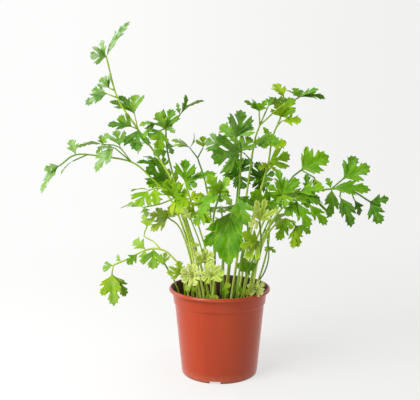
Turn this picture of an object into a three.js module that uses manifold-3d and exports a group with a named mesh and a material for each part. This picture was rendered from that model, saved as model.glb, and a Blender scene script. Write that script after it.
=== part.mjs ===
// Flat-leaf parsley growing in a moulded plastic nursery pot.
// Millimetres, +Z up. The origin is the middle of the pot's foot, and the plant's front faces -Y.
import * as THREE from "three";
import { mergeVertices } from "three/addons/utils/BufferGeometryUtils.js";
import Module from "manifold-3d";

// The pot: a 13 cm nursery pot, 112 mm tall.
const RIM_RADIUS = 65;
const RIM_HEIGHT = 112;
const LIP_DROP = 4.2;
const BAND_RADIUS = 60.6;
const STEP_HEIGHT = 91.5;
const STEP_RADIUS = 57.6;
const STEP_DEPTH = 1.6;
const FOOT_RADIUS = 49.2;
const FOOT_ROUND = 3;
const WALL = 1.6;
const WALL_SLOPE = (STEP_RADIUS - FOOT_RADIUS) / (STEP_HEIGHT - FOOT_ROUND);
const FLOOR_RISE = 3.2;
const PAD_RADIUS = 22;
const FOOT_RING = 4.5;
const POT_SIDES = 32;
const NOTCH_COUNT = 4;
const NOTCH_WIDTH = 14;
const NOTCH_TURN = THREE.MathUtils.degToRad(-96.6);
const DRAIN_RADIUS = 3.5;
const DRAIN_RING = 33;

// The soil: a lumpy fill that stops below the rim.
const SOIL_TOP = 89;
const SOIL_GAP = 0.4;
const SOIL_SIDE_GAP = 0.85;
const SOIL_SIDES = 24;
const SOIL_RINGS = 3;
const LUMP_HEIGHT = 1.6;
const ROOT_DEPTH = 9;
const COLLAR_HEIGHT = 92;
const HOLE_GAP = 0.35;
const HOLE_SIDES = 5;

// The leaf stalks and blades.
const STEM_SIDES = 4;
const LONG_STEP = 36;
const STALK_SIDES = 4;
const STEM_TIP_RADIUS = 1.05;
const STALK_RADIUS = 0.95;
const STALK_OVERRUN = 1;
const BLADE_THICKNESS = 0.8;
const BLADE_ARCH = 0.09;
const BLADE_FOLD = 0.22;
const FOOT_START = 0.6;
const LARGE_BLADE = 38;
const MIDDLE_BLADE = 28;
const SMALL_BLADE = 18;
const LOBED_RATIO = 0.9;
const LOBED_BLADE = 26;

// Places on the plant are given as seen from the front by an eye at this distance and height:
// x and z are where a point appears in the upright plane through the pot's axis, and y is how far
// behind that plane it lies.
const EYE_DISTANCE = 820;
const EYE_HEIGHT = 320;

// The ways a blade's upper side faces.
const FRONT = [0, -1, 0.35];
const FRONT_LEFT = [-0.6, -0.8, 0.3];
const FRONT_RIGHT = [0.6, -0.8, 0.3];
const TILTED = [0, -0.55, 0.85];
const UP = [0, 0.1, 1];
const UP_LEFT = [-0.6, -0.1, 0.8];
const LEFT = [-1, -0.25, 0.2];
const RIGHT = [1, -0.25, 0.2];
const BACK = [0, 1, 0.4];

// Each frond is one leaf: a stem from its root through the listed points, and sprigs of leaflets.
// A sprig leaves the stem at a point's number, counted from the soil as 0, and runs along its own
// stalk, if it has one. Each leaflet is a tip, its width over its length, and the way it faces where
// that isn't the sprig's. A leaflet as wide as it is long has three lobes.
const FRONDS = [
  {
    name: "tall_left",
    root: [-19, 6],
    girth: 1.8,
    stem: [
      [-30, 8, 145], [-43, 9, 190], [-62, 10, 252],
      [-103, 14, 313], [-128, 19, 352], [-141, 20, 402],
    ],
    sprigs: [
      {
        at: 6,
        face: LEFT,
        tips: [[-110, 34, 446, 0.4], [-143, 26, 421, 0.5], [-160, 12, 404, 1, FRONT]],
      },
      {
        at: 5,
        stalk: [[-141, 16, 357]],
        face: UP_LEFT,
        tips: [[-169, 8, 343, 0.5], [-157, 26, 360, 0.6]],
      },
      { at: 5.2, stalk: [[-138, 17, 364]], face: LEFT, tips: [[-147, 20, 377, 0.9]] },
      {
        at: 4,
        stalk: [[-107, 30, 332]],
        face: TILTED,
        tips: [[-138, 42, 348, 0.5], [-105, 44, 356, 0.95]],
      },
      {
        at: 4,
        stalk: [[-110, 8, 316]],
        face: FRONT,
        tips: [[-142, 2, 318, 0.45], [-127, 4, 330, 0.9]],
      },
      { at: 4, face: FRONT, tips: [[-105, -8, 285, 0.9]] },
      {
        at: 3.7,
        stalk: [[-96, 26, 296]],
        face: TILTED,
        tips: [[-132, 30, 296, 0.3], [-103, 32, 281, 0.7]],
      },
    ],
  },
  {
    name: "second_left",
    root: [-11, -6],
    girth: 1.8,
    stem: [[-26, -8, 145], [-40, -8, 190], [-57, -6, 248], [-66, -4, 285], [-68, -2, 314]],
    sprigs: [
      {
        at: 5,
        face: FRONT,
        tips: [[-80, -8, 334, 0.8], [-58, 2, 338, 0.9], [-57, -10, 308, 0.8, FRONT_RIGHT]],
      },
      {
        at: 5,
        stalk: [[-74, -6, 312]],
        face: FRONT,
        tips: [[-90, -14, 302, 0.9], [-78, -20, 285, 0.8]],
      },
      {
        at: 5,
        stalk: [[-80, -2, 320]],
        face: TILTED,
        tips: [[-101, -8, 317, 0.75], [-96, -12, 301, 0.5]],
      },
      {
        at: 5,
        stalk: [[-58, 2, 321], [-50, 6, 331]],
        face: RIGHT,
        tips: [[-53, 4, 346, 0.4, FRONT], [-43, 10, 356, 0.5], [-18, 12, 348, 0.4, UP]],
      },
      { at: 4, face: FRONT, tips: [[-84, -16, 281, 0.8]] },
      { at: 4.5, face: FRONT, tips: [[-59, 2, 282, 0.5]] },
    ],
  },
  {
    name: "far_left",
    root: [-24, 15],
    girth: 1.4,
    stem: [
      [-38, 20, 160], [-60, 26, 220], [-88, 31, 253], [-112, 33, 272],
      [-150, 31, 279], [-182, 28, 281], [-203, 22, 267],
    ],
    sprigs: [
      { at: 7, face: UP_LEFT, tips: [[-223, 14, 261, 0.6], [-227, 12, 231, 0.45]] },
      { at: 6, face: FRONT, tips: [[-188, 34, 300, 0.8]] },
      { at: 5.5, stalk: [[-186, 18, 273]], face: LEFT, tips: [[-201, 10, 256, 0.5]] },
      {
        at: 4,
        stalk: [[-133, 22, 290]],
        face: FRONT,
        tips: [[-157, 12, 258, 0.55], [-151, 16, 291, 0.4]],
      },
      {
        at: 4,
        stalk: [[-128, 42, 291], [-148, 46, 294]],
        face: UP,
        tips: [
          [-177, 40, 291, 0.4], [-181, 56, 289, 0.4], [-150, 42, 306, 0.8, FRONT],
          [-140, 38, 308, 0.7, FRONT], [-156, 40, 282, 0.5, FRONT],
        ],
      },
      { at: 4, stalk: [[-126, 38, 291]], face: FRONT, tips: [[-131, 42, 312, 1]] },
    ],
  },
  {
    name: "dark_left",
    root: [-27, 29],
    girth: 1.4,
    stem: [[-38, 42, 160], [-50, 48, 215], [-66, 48, 250]],
    sprigs: [
      { at: 3, face: FRONT, tips: [[-94, 38, 266, 0.9], [-94, 36, 244, 0.7]] },
      {
        at: 3,
        stalk: [[-72, 60, 264]],
        face: UP,
        tips: [[-106, 68, 271, 0.35, TILTED], [-97, 86, 278, 0.35], [-70, 62, 278, 0.9, FRONT]],
      },
    ],
  },
  {
    name: "low_arch_left",
    root: [-27, -16],
    girth: 1.4,
    stem: [[-33, -20, 140], [-44, -24, 190], [-58, -26, 226], [-76, -26, 239], [-90, -26, 236]],
    sprigs: [
      { at: 5, face: FRONT, tips: [[-104, -38, 214, 1], [-113, -14, 234, 0.4, UP]] },
      { at: 4.5, face: FRONT, tips: [[-80, -40, 217, 0.8]] },
      {
        at: 3,
        stalk: [[-74, -22, 219], [-97, -22, 214]],
        face: UP,
        tips: [[-127, -18, 212, 0.35], [-117, -8, 218, 0.4], [-92, -32, 202, 0.8, FRONT]],
      },
      {
        at: 3,
        face: FRONT,
        tips: [
          [-38, -42, 234, 0.9], [-48, -40, 206, 0.9],
          [-68, -38, 251, 0.8], [-52, -46, 248, 0.7],
        ],
      },
    ],
  },
  {
    name: "drooping_left",
    root: [-36, -26],
    girth: 1.4,
    stem: [
      [-48, -34, 130], [-62, -38, 151], [-76, -40, 160],
      [-95, -42, 159], [-116, -44, 148], [-137, -46, 139],
    ],
    sprigs: [
      {
        at: 6,
        stalk: [[-139, -48, 127]],
        face: FRONT,
        tips: [[-153, -52, 98, 0.5], [-137, -64, 84, 0.5], [-121, -44, 97, 0.5]],
      },
      { at: 6, face: FRONT, tips: [[-151, -42, 134, 0.9]] },
      { at: 5.5, face: LEFT, tips: [[-131, -36, 153, 0.7]] },
      { at: 4.5, face: FRONT, tips: [[-119, -50, 140, 0.8]] },
      { at: 4, face: FRONT, tips: [[-110, -30, 171, 0.8], [-98, -50, 140, 0.8]] },
      { at: 3.5, face: FRONT, tips: [[-86, -58, 133, 1]] },
      {
        at: 3,
        stalk: [[-85, -30, 170], [-97, -26, 177], [-93, -22, 189]],
        face: FRONT,
        tips: [[-97, -18, 205, 0.7], [-83, -24, 201, 0.6]],
      },
    ],
  },
  {
    name: "leaning_left",
    root: [-34, 4],
    girth: 1.2,
    stem: [[-36, -4, 140], [-50, -10, 186], [-66, -12, 201]],
    sprigs: [
      {
        at: 3,
        face: FRONT,
        tips: [
          [-90, -18, 205, 0.5], [-89, -24, 183, 0.5],
          [-58, -22, 215, 0.8], [-82, -28, 213, 0.5],
        ],
      },
      { at: 1.5, face: FRONT, tips: [[-25, -18, 166, 0.45]] },
    ],
  },
  {
    name: "centre_small",
    root: [-8, -22],
    girth: 1.3,
    stem: [[-16, -28, 150], [-30, -42, 200], [-44, -48, 246]],
    sprigs: [
      {
        at: 3,
        face: FRONT,
        tips: [[-43, -52, 276, 0.9], [-28, -56, 241, 0.9], [-3, -42, 257, 0.5, TILTED]],
      },
      {
        at: 2.2,
        stalk: [[-38, -52, 226]],
        face: FRONT,
        tips: [[-54, -62, 214, 0.9], [-23, -60, 231, 0.9]],
      },
      {
        at: 1.8,
        stalk: [[-22, -50, 214]],
        face: FRONT,
        tips: [[-31, -54, 190, 0.9], [-12, -52, 194, 0.8], [-35, -56, 231, 0.9]],
      },
      { at: 1.8, stalk: [[-33, -44, 202]], face: FRONT, tips: [[-46, -46, 224, 0.6]] },
    ],
  },
  {
    name: "slender_back",
    root: [-5, 30],
    girth: 1,
    stem: [[-8, 44, 170], [-17, 50, 240], [-28, 54, 277]],
    sprigs: [
      {
        at: 3,
        stalk: [[-38, 56, 290]],
        face: UP,
        tips: [[-62, 48, 299, 0.4], [-61, 64, 291, 0.4], [-33, 60, 309, 0.4, RIGHT]],
      },
      { at: 3, stalk: [[-21, 52, 290]], face: FRONT, tips: [[-22, 48, 305, 1.2]] },
    ],
  },
  {
    name: "centre_tall",
    root: [7, -14],
    girth: 1.8,
    stem: [[14, -18, 160], [24, -22, 225], [27, -24, 285]],
    sprigs: [
      {
        at: 3,
        stalk: [[21, -20, 303]],
        face: FRONT,
        tips: [[26, -22, 338, 0.95], [0, -16, 318, 0.8], [43, -16, 315, 1]],
      },
      {
        at: 3,
        face: FRONT,
        tips: [[-8, -42, 275, 1], [40, -8, 268, 0.6, TILTED], [39, -14, 303, 1]],
      },
      { at: 3, stalk: [[4, -14, 293]], face: FRONT, tips: [[-19, -8, 297, 1]] },
    ],
  },
  {
    name: "right_tall",
    root: [15, 2],
    girth: 1.8,
    stem: [[24, 4, 160], [34, 6, 230], [43, 8, 295], [50, 10, 318]],
    sprigs: [
      {
        at: 4,
        stalk: [[49, 6, 335]],
        face: UP,
        tips: [[30, 0, 348, 0.5, TILTED], [40, 16, 350, 0.6], [58, 2, 349, 0.7, FRONT]],
      },
      { at: 4, stalk: [[60, 16, 341]], face: UP, tips: [[84, 4, 350, 0.6], [68, 36, 352, 0.6]] },
      {
        at: 4,
        stalk: [[76, 12, 341], [98, 10, 352]],
        face: TILTED,
        tips: [[92, 20, 364, 0.8], [123, 0, 362, 0.5], [132, 14, 351, 0.35], [81, 2, 361, 0.8]],
      },
      { at: 3, face: TILTED, tips: [[77, -14, 296, 0.55]] },
    ],
  },
  {
    name: "right_yellow",
    root: [24, 16],
    girth: 1.7,
    stem: [[36, 24, 165], [52, 30, 235], [61, 32, 270], [66, 34, 302], [76, 36, 328]],
    sprigs: [
      { at: 5, face: FRONT, tips: [[70, 26, 347, 0.9], [95, 22, 336, 0.7], [92, 44, 352, 0.7]] },
      {
        at: 5,
        stalk: [[80, 52, 352]],
        face: TILTED,
        tips: [[63, 40, 363, 0.5], [67, 70, 369, 0.7]],
      },
      { at: 4.5, stalk: [[77, 28, 323]], face: FRONT, tips: [[102, 24, 324, 0.7]] },
      { at: 3, face: FRONT, tips: [[89, 22, 281, 0.9], [49, 24, 263, 0.7]] },
      { at: 3.7, face: FRONT, tips: [[44, 24, 297, 0.8], [84, 20, 297, 0.8]] },
    ],
  },
  {
    name: "fan_right",
    root: [38, 4],
    girth: 1.2,
    stem: [[52, 8, 126], [62, 10, 165], [66, 12, 205], [88, 14, 248], [103, 14, 262]],
    sprigs: [
      { at: 5, face: FRONT, tips: [[138, 8, 280, 0.8], [110, 22, 293, 0.3]] },
      { at: 5, stalk: [[120, 8, 252]], face: LEFT, tips: [[112, 2, 237, 0.7], [133, 2, 235, 0.6]] },
    ],
  },
  {
    name: "far_right",
    root: [34, -12],
    girth: 1.4,
    stem: [
      [50, -14, 160], [78, -16, 212], [112, -18, 232],
      [141, -20, 238], [166, -20, 236], [190, -22, 222],
    ],
    sprigs: [
      {
        at: 4,
        face: FRONT,
        tips: [[192, -34, 236, 0.4, TILTED], [135, -12, 252, 0.6], [136, -34, 200, 0.5]],
      },
      {
        at: 4,
        stalk: [[156, -12, 251]],
        face: FRONT,
        tips: [[171, 0, 280, 0.6], [190, -22, 267, 0.65]],
      },
      { at: 4.5, stalk: [[152, -28, 228]], face: FRONT, tips: [[167, -38, 188, 0.5]] },
      { at: 5, stalk: [[170, -10, 225]], face: FRONT, tips: [[177, -8, 204, 0.7]] },
      { at: 6, face: FRONT, tips: [[214, -26, 226, 0.6], [206, -30, 193, 0.65]] },
      { at: 3, face: FRONT, tips: [[109, -12, 257, 0.5]] },
    ],
  },
  {
    name: "bushy_right",
    root: [26, -22],
    girth: 1.4,
    stem: [[40, -34, 150], [58, -42, 200], [80, -46, 230]],
    sprigs: [
      {
        at: 3,
        face: FRONT,
        tips: [[61, -44, 242, 0.9], [72, -36, 264, 0.4], [101, -48, 251, 0.7], [63, -52, 213, 0.8]],
      },
      {
        at: 3,
        stalk: [[98, -46, 232]],
        face: TILTED,
        tips: [
          [133, -54, 241, 0.5], [128, -34, 222, 0.5],
          [112, -62, 213, 0.8, FRONT], [140, -70, 202, 0.3],
        ],
      },
      {
        at: 3,
        stalk: [[98, -50, 222]],
        face: FRONT,
        tips: [[115, -60, 187, 0.5], [83, -60, 204, 0.8]],
      },
      { at: 2.3, face: FRONT, tips: [[38, -60, 234, 0.8], [75, -60, 212, 0.7]] },
    ],
  },
  {
    name: "low_right",
    root: [38, -28],
    girth: 1.2,
    stem: [[50, -38, 150], [64, -44, 184], [84, -48, 200], [96, -48, 191]],
    sprigs: [
      { at: 4, face: FRONT, tips: [[100, -54, 163, 0.5], [116, -50, 181, 0.6]] },
      { at: 3, face: FRONT, tips: [[73, -56, 171, 0.6], [93, -56, 186, 0.9]] },
    ],
  },
  {
    name: "front_big",
    root: [5, -32],
    girth: 1.5,
    stem: [[5, -48, 150], [8, -58, 186], [11, -64, 207]],
    sprigs: [
      { at: 3, face: FRONT, tips: [[11, -92, 138, 0.54], [-19, -66, 163, 0.45]] },
      { at: 2.4, face: FRONT, tips: [[-14, -70, 186, 0.8]] },
    ],
  },
  {
    name: "front_left",
    root: [-7, -36],
    girth: 1.4,
    stem: [[-6, -40, 150], [-8, -56, 200], [1, -74, 233]],
    sprigs: [
      {
        at: 3,
        face: FRONT,
        tips: [[-24, -96, 202, 0.65, FRONT_LEFT], [-13, -82, 257, 0.8], [15, -80, 217, 0.7]],
      },
    ],
  },
  {
    name: "front_right",
    root: [19, -43],
    girth: 1.3,
    stem: [[28, -68, 150], [36, -88, 188], [22, -97, 228]],
    sprigs: [
      { at: 3, face: FRONT, tips: [[35, -110, 190, 0.72], [44, -100, 216, 0.6]] },
    ],
  },
  {
    name: "sprout_right",
    root: [29, -41],
    girth: 1,
    stem: [[33, -50, 115], [34, -52, 130]],
    sprigs: [
      { at: 2, face: FRONT, tips: [[22, -54, 141, 0.8], [47, -66, 140, 0.8]] },
    ],
  },
  {
    name: "gold_low_left",
    root: [-34, -38],
    girth: 1,
    stem: [[-35, -46, 112], [-34, -50, 125]],
    sprigs: [
      {
        at: 2,
        face: FRONT,
        tips: [
          [-50, -56, 134, 1.1], [-30, -58, 141, 1.1],
          [-30, -64, 112, 1], [-49, -64, 117, 0.9],
        ],
      },
    ],
  },
  {
    name: "gold_centre_left",
    root: [-19, -30],
    girth: 1,
    stem: [[-18, -38, 125], [-19, -42, 143]],
    sprigs: [
      {
        at: 2,
        face: FRONT,
        tips: [[-31, -52, 151, 1.1], [-20, -44, 162, 1.1], [-8, -56, 141, 0.9]],
      },
    ],
  },
  {
    name: "gold_centre",
    root: [-8, -47],
    girth: 1,
    stem: [[-8, -60, 115], [-8, -64, 126]],
    sprigs: [
      { at: 2, face: FRONT, tips: [[-9, -72, 142, 1.1], [7, -74, 130, 1.1], [-24, -70, 120, 1]] },
    ],
  },
  {
    name: "wisp_left",
    root: [-47, -14],
    girth: 1,
    stem: [[-58, -20, 118], [-72, -24, 143]],
    sprigs: [
      { at: 2, face: FRONT, tips: [[-83, -26, 147, 0.8], [-69, -28, 156, 0.9]] },
    ],
  },
  {
    name: "gold_left",
    root: [-42, -30],
    girth: 1,
    stem: [[-46, -44, 118], [-50, -50, 127]],
    sprigs: [
      { at: 2, face: FRONT, tips: [[-69, -62, 129, 0.9], [-53, -48, 145, 0.8]] },
    ],
  },
  {
    name: "gold_right",
    root: [46, -17],
    girth: 1,
    stem: [[46, -30, 98], [46, -38, 108]],
    sprigs: [
      { at: 2, face: FRONT, tips: [[35, -38, 113, 1], [57, -48, 102, 0.9], [59, -44, 116, 0.9]] },
    ],
  },
  {
    name: "gold_mid_right",
    root: [24, -46],
    girth: 1.1,
    stem: [[36, -62, 130], [48, -82, 156], [50, -84, 170]],
    sprigs: [
      { at: 3, face: FRONT, tips: [[28, -92, 181, 0.8], [34, -94, 147, 0.95], [26, -98, 163, 0.5]] },
    ],
  },
  {
    name: "gold_high_right",
    root: [33, -36],
    girth: 1,
    stem: [[44, -50, 130], [53, -60, 160], [51, -64, 196]],
    sprigs: [
      {
        at: 3,
        face: FRONT,
        tips: [
          [36, -74, 190, 0.9], [40, -68, 217, 0.45],
          [58, -66, 227, 0.4], [75, -76, 212, 0.35],
        ],
      },
    ],
  },
  {
    name: "dark_back",
    root: [10, 24],
    girth: 1.4,
    stem: [[16, 40, 170], [22, 54, 230], [24, 60, 256]],
    sprigs: [
      {
        at: 3,
        face: FRONT,
        tips: [[4, 54, 267, 1.05], [36, 66, 276, 0.9], [31, 46, 237, 1], [12, 58, 250, 0.9]],
      },
    ],
  },
  {
    name: "dark_back_right",
    root: [20, 34],
    girth: 1.4,
    stem: [[34, 56, 170], [48, 68, 225], [52, 74, 252]],
    sprigs: [
      {
        at: 3,
        face: FRONT,
        tips: [[46, 68, 273, 0.9], [70, 68, 258, 0.9], [46, 66, 232, 0.9], [36, 64, 249, 0.9]],
      },
    ],
  },
  {
    name: "rear_left",
    root: [-16, 42],
    girth: 1.5,
    stem: [[-30, 66, 160], [-48, 84, 205], [-62, 94, 234]],
    sprigs: [
      { at: 3, face: BACK, tips: [[-70, 98, 264, 0.9], [-88, 112, 243, 0.8]] },
      { at: 2.5, stalk: [[-56, 108, 224]], face: BACK, tips: [[-52, 130, 202, 0.8]] },
    ],
  },
  {
    name: "rear_right",
    root: [32, 36],
    girth: 1.4,
    stem: [[44, 54, 150], [64, 82, 200], [84, 98, 226]],
    sprigs: [
      { at: 3, face: BACK, tips: [[96, 106, 248, 0.9], [70, 126, 240, 0.7]] },
      { at: 2.5, stalk: [[72, 110, 206]], face: BACK, tips: [[80, 134, 188, 0.8]] },
    ],
  },
  {
    name: "rear_middle",
    root: [2, 42],
    girth: 1.4,
    stem: [[4, 62, 150], [4, 94, 190], [2, 120, 214]],
    sprigs: [
      { at: 3, face: UP, tips: [[2, 156, 206, 0.9], [-26, 132, 204, 0.7], [28, 132, 206, 0.7]] },
    ],
  },
];

const wasm = await Module();
wasm.setup();

// A closed geometry as a solid that can be joined and cut.
function toSolid(geometry) {
  const plain = geometry.index ? geometry.toNonIndexed() : geometry.clone();
  plain.deleteAttribute("normal");
  plain.deleteAttribute("uv");
  const merged = mergeVertices(plain, 1e-4);
  return new wasm.Manifold(
    new wasm.Mesh({
      numProp: 3,
      vertProperties: new Float32Array(merged.attributes.position.array),
      triVerts: new Uint32Array(merged.index.array),
    }),
  );
}

function toGeometry(solid) {
  const mesh = solid.getMesh();
  const geometry = new THREE.BufferGeometry();
  geometry.setAttribute("position", new THREE.BufferAttribute(mesh.vertProperties, 3));
  geometry.setIndex(new THREE.BufferAttribute(mesh.triVerts, 1));
  geometry.computeVertexNormals();
  return geometry;
}

const join = (solids) => wasm.Manifold.union(solids);

// Where a point of the front view lies in the part's own frame.
function place([x, y, z]) {
  const reach = (EYE_DISTANCE + y) / EYE_DISTANCE;
  return new THREE.Vector3(x * reach, y, EYE_HEIGHT + (z - EYE_HEIGHT) * reach);
}

// The pot is one moulding: a rolled lip, a band that steps in, a tapered wall and a raised floor.
function pot() {
  const bandFoot = STEP_HEIGHT + STEP_DEPTH;
  const floorTop = FLOOR_RISE + WALL;
  const profile = [
    [0, 0],
    [PAD_RADIUS, 0],
    [PAD_RADIUS + 2, FLOOR_RISE],
    [FOOT_RADIUS - FOOT_RING, FLOOR_RISE],
    [FOOT_RADIUS - FOOT_RING, 0],
    [FOOT_RADIUS - 1.2, 0],
    [FOOT_RADIUS, FOOT_ROUND],
    [STEP_RADIUS, STEP_HEIGHT],
    [STEP_RADIUS + STEP_DEPTH, bandFoot],
    [BAND_RADIUS, RIM_HEIGHT - LIP_DROP],
    [RIM_RADIUS - 0.3, RIM_HEIGHT - LIP_DROP],
    [RIM_RADIUS, RIM_HEIGHT - 1.5],
    [RIM_RADIUS - 1.8, RIM_HEIGHT],
    [BAND_RADIUS + 0.8, RIM_HEIGHT - 0.6],
    [BAND_RADIUS - WALL, RIM_HEIGHT - 4],
    [STEP_RADIUS - WALL, STEP_HEIGHT],
    [FOOT_RADIUS - WALL + WALL_SLOPE * floorTop, floorTop],
    [PAD_RADIUS + 2, floorTop],
    [PAD_RADIUS, WALL],
    [0, WALL],
  ].map(([r, z]) => new THREE.Vector2(r, z));
  const moulding = new THREE.LatheGeometry(profile, POT_SIDES).rotateX(Math.PI / 2);
  let solid = toSolid(moulding);
  for (let i = 0; i < NOTCH_COUNT; i += 1) {
    const turn = NOTCH_TURN + (i * 2 * Math.PI) / NOTCH_COUNT;
    const notch = new THREE.BoxGeometry(4 * FOOT_RING, NOTCH_WIDTH, 2 * FLOOR_RISE)
      .translate(FOOT_RADIUS, 0, 0)
      .rotateZ(turn);
    const drain = new THREE.CylinderGeometry(DRAIN_RADIUS, DRAIN_RADIUS, 4 * floorTop, 8)
      .rotateX(Math.PI / 2)
      .translate(DRAIN_RING, 0, 0)
      .rotateZ(turn);
    solid = solid.subtract(toSolid(notch)).subtract(toSolid(drain));
  }
  return solid;
}

// How high the soil stands at a place: rounded crumbs on a slightly sunken surface.
function soilHeight(x, y) {
  const crumbs = Math.sin(x * 0.31 + 1.3) * Math.cos(y * 0.27) + Math.sin(x * 0.13 - y * 0.41);
  return SOIL_TOP + (crumbs * LUMP_HEIGHT) / 2;
}

// The soil fills the pot from its floor up, as rings of points joined from the middle outwards.
function soilBlock() {
  const floorTop = FLOOR_RISE + WALL + SOIL_GAP;
  const sideInset = (WALL + SOIL_SIDE_GAP) / Math.cos(Math.PI / POT_SIDES);
  const topRadius = FOOT_RADIUS + WALL_SLOPE * SOIL_TOP - sideInset;
  const baseRadius = FOOT_RADIUS + WALL_SLOPE * floorTop - sideInset;
  const points = [];
  const ringOf = (radius, height) => {
    for (let i = 0; i < SOIL_SIDES; i += 1) {
      const turn = (i * 2 * Math.PI) / SOIL_SIDES;
      const x = radius * Math.cos(turn);
      const y = radius * Math.sin(turn);
      points.push(x, y, height ?? soilHeight(x, y));
    }
  };
  points.push(0, 0, WALL + SOIL_GAP);
  ringOf(PAD_RADIUS - 1, WALL + SOIL_GAP);
  ringOf(PAD_RADIUS + 1.5, floorTop);
  ringOf(baseRadius, floorTop);
  for (let ring = SOIL_RINGS; ring >= 1; ring -= 1) ringOf((topRadius * ring) / SOIL_RINGS);
  points.push(0, 0, soilHeight(0, 0));
  const faces = [];
  const last = points.length / 3 - 1;
  for (let i = 0; i < SOIL_SIDES; i += 1) {
    const next = (i + 1) % SOIL_SIDES;
    faces.push(0, 1 + next, 1 + i);
    for (let ring = 0; ring < SOIL_RINGS + 2; ring += 1) {
      const low = 1 + ring * SOIL_SIDES;
      const high = low + SOIL_SIDES;
      faces.push(low + i, low + next, high + next, low + i, high + next, high + i);
    }
    const inner = 1 + (SOIL_RINGS + 2) * SOIL_SIDES;
    faces.push(inner + i, inner + next, last);
  }
  const geometry = new THREE.BufferGeometry();
  geometry.setAttribute("position", new THREE.Float32BufferAttribute(points, 3));
  geometry.setIndex(faces);
  return toSolid(geometry);
}

// A round stalk that tapers along a line of points, closed at both ends.
function stalkSolid(line, startRadius, endRadius, sides) {
  const reach = line.at(-1).clone().sub(line[0]);
  const level = new THREE.Vector3(-reach.y, reach.x, 0);
  if (level.length() < 1) level.set(0, 1, 0);
  const last = line.length - 1;
  const points = [];
  line.forEach((middle, step) => {
    const ahead = line[Math.min(step + 1, last)].clone().sub(line[Math.max(step - 1, 0)]).normalize();
    const across = level.clone().addScaledVector(ahead, -level.dot(ahead)).normalize();
    const over = new THREE.Vector3().crossVectors(ahead, across);
    const radius = THREE.MathUtils.lerp(startRadius, endRadius, step / last);
    for (let side = 0; side < sides; side += 1) {
      const turn = (side * 2 * Math.PI) / sides;
      const spot = middle.clone().addScaledVector(across, Math.cos(turn) * radius);
      points.push(...spot.addScaledVector(over, Math.sin(turn) * radius));
    }
  });
  points.push(...line[0], ...line[last]);
  const bottom = (last + 1) * sides;
  const faces = [];
  for (let side = 0; side < sides; side += 1) {
    const next = (side + 1) % sides;
    for (let step = 0; step < last; step += 1) {
      const low = step * sides;
      const high = low + sides;
      faces.push(low + side, low + next, high + next, low + side, high + next, high + side);
    }
    faces.push(bottom, next, side);
    faces.push(bottom + 1, last * sides + side, last * sides + next);
  }
  const geometry = new THREE.BufferGeometry();
  geometry.setAttribute("position", new THREE.Float32BufferAttribute(points, 3));
  geometry.setIndex(faces);
  return toSolid(geometry);
}

// A smooth line through the given points, with a step halfway along each long stretch, that runs on
// a little past the last. Its marks are where the given points lie on it.
function smoothLine(given) {
  const curve = new THREE.CatmullRomCurve3(given, false, "catmullrom", 0.5);
  const points = [given[0]];
  const marks = [0];
  for (let i = 1; i < given.length; i += 1) {
    const halfway = (i - 0.5) / (given.length - 1);
    if (given[i].distanceTo(given[i - 1]) > LONG_STEP) points.push(curve.getPoint(halfway));
    points.push(given[i]);
    marks.push(points.length - 1);
  }
  const overrun = given.at(-1).clone().sub(points.at(-2)).setLength(STALK_OVERRUN);
  points[points.length - 1] = given.at(-1).clone().add(overrun);
  return { points, marks };
}

// The place on such a line at a number of given points from its start.
function placeOn({ points, marks }, number) {
  const low = Math.min(Math.floor(number), marks.length - 2);
  const index = marks[low] + (number - low) * (marks[low + 1] - marks[low]);
  const before = Math.min(Math.floor(index), points.length - 2);
  return points[before].clone().lerp(points[before + 1], index - before);
}

// Half a leaflet, as shares of its length and half width: points on its rib, then its outline from
// foot to tip, which opens from a wedge into cut side lobes and a middle lobe. Faces number both.
const LOBED_LEAFLET = {
  rib: [0, 0.46, 1],
  outline: [[0.14, 0.08], [0.36, 0.92], [0.58, 1], [0.66, 0.72], [0.46, 0.22], [0.72, 0.44], [0.9, 0.26]],
  faces: [[0, 3, 1], [7, 3, 4], [7, 4, 5], [7, 5, 6], [3, 7, 1], [1, 7, 8], [1, 8, 9], [1, 9, 2]],
};
const LARGE_LEAFLET = {
  rib: [0, 0.52, 1],
  outline: [[0.1, 0.1], [0.32, 0.86], [0.58, 1], [0.6, 0.42], [0.8, 0.64], [0.92, 0.36]],
  faces: [[0, 3, 1], [6, 3, 4], [6, 4, 5], [3, 6, 1], [1, 6, 7], [1, 7, 8], [1, 8, 2]],
};
const MIDDLE_LEAFLET = {
  rib: [0, 0.5, 1],
  outline: [[0.14, 0.1], [0.4, 0.98], [0.62, 0.86], [0.56, 0.36], [0.84, 0.54]],
  faces: [[0, 3, 1], [6, 3, 4], [6, 4, 5], [3, 6, 1], [1, 6, 7], [1, 7, 2]],
};
const SMALL_LEAFLET = {
  rib: [0, 0.5, 1],
  outline: [[0.16, 0.1], [0.5, 1], [0.58, 0.44], [0.84, 0.56]],
  faces: [[0, 3, 1], [5, 3, 4], [3, 5, 1], [1, 5, 6], [1, 6, 2]],
};

const TINY_LEAFLET = {
  rib: [0, 0.5, 1],
  outline: [[0.18, 0.12], [0.52, 1], [0.82, 0.62]],
  faces: [[0, 3, 1], [3, 4, 1], [4, 5, 1], [5, 2, 1]],
};

function leafletPattern(length, widthRatio) {
  const lobed = widthRatio >= LOBED_RATIO;
  if (lobed && length > LOBED_BLADE) return LOBED_LEAFLET;
  if (!lobed && length > LARGE_BLADE) return LARGE_LEAFLET;
  if (length > (lobed ? SMALL_BLADE : MIDDLE_BLADE)) return MIDDLE_LEAFLET;
  return length > SMALL_BLADE ? SMALL_LEAFLET : TINY_LEAFLET;
}

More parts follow.
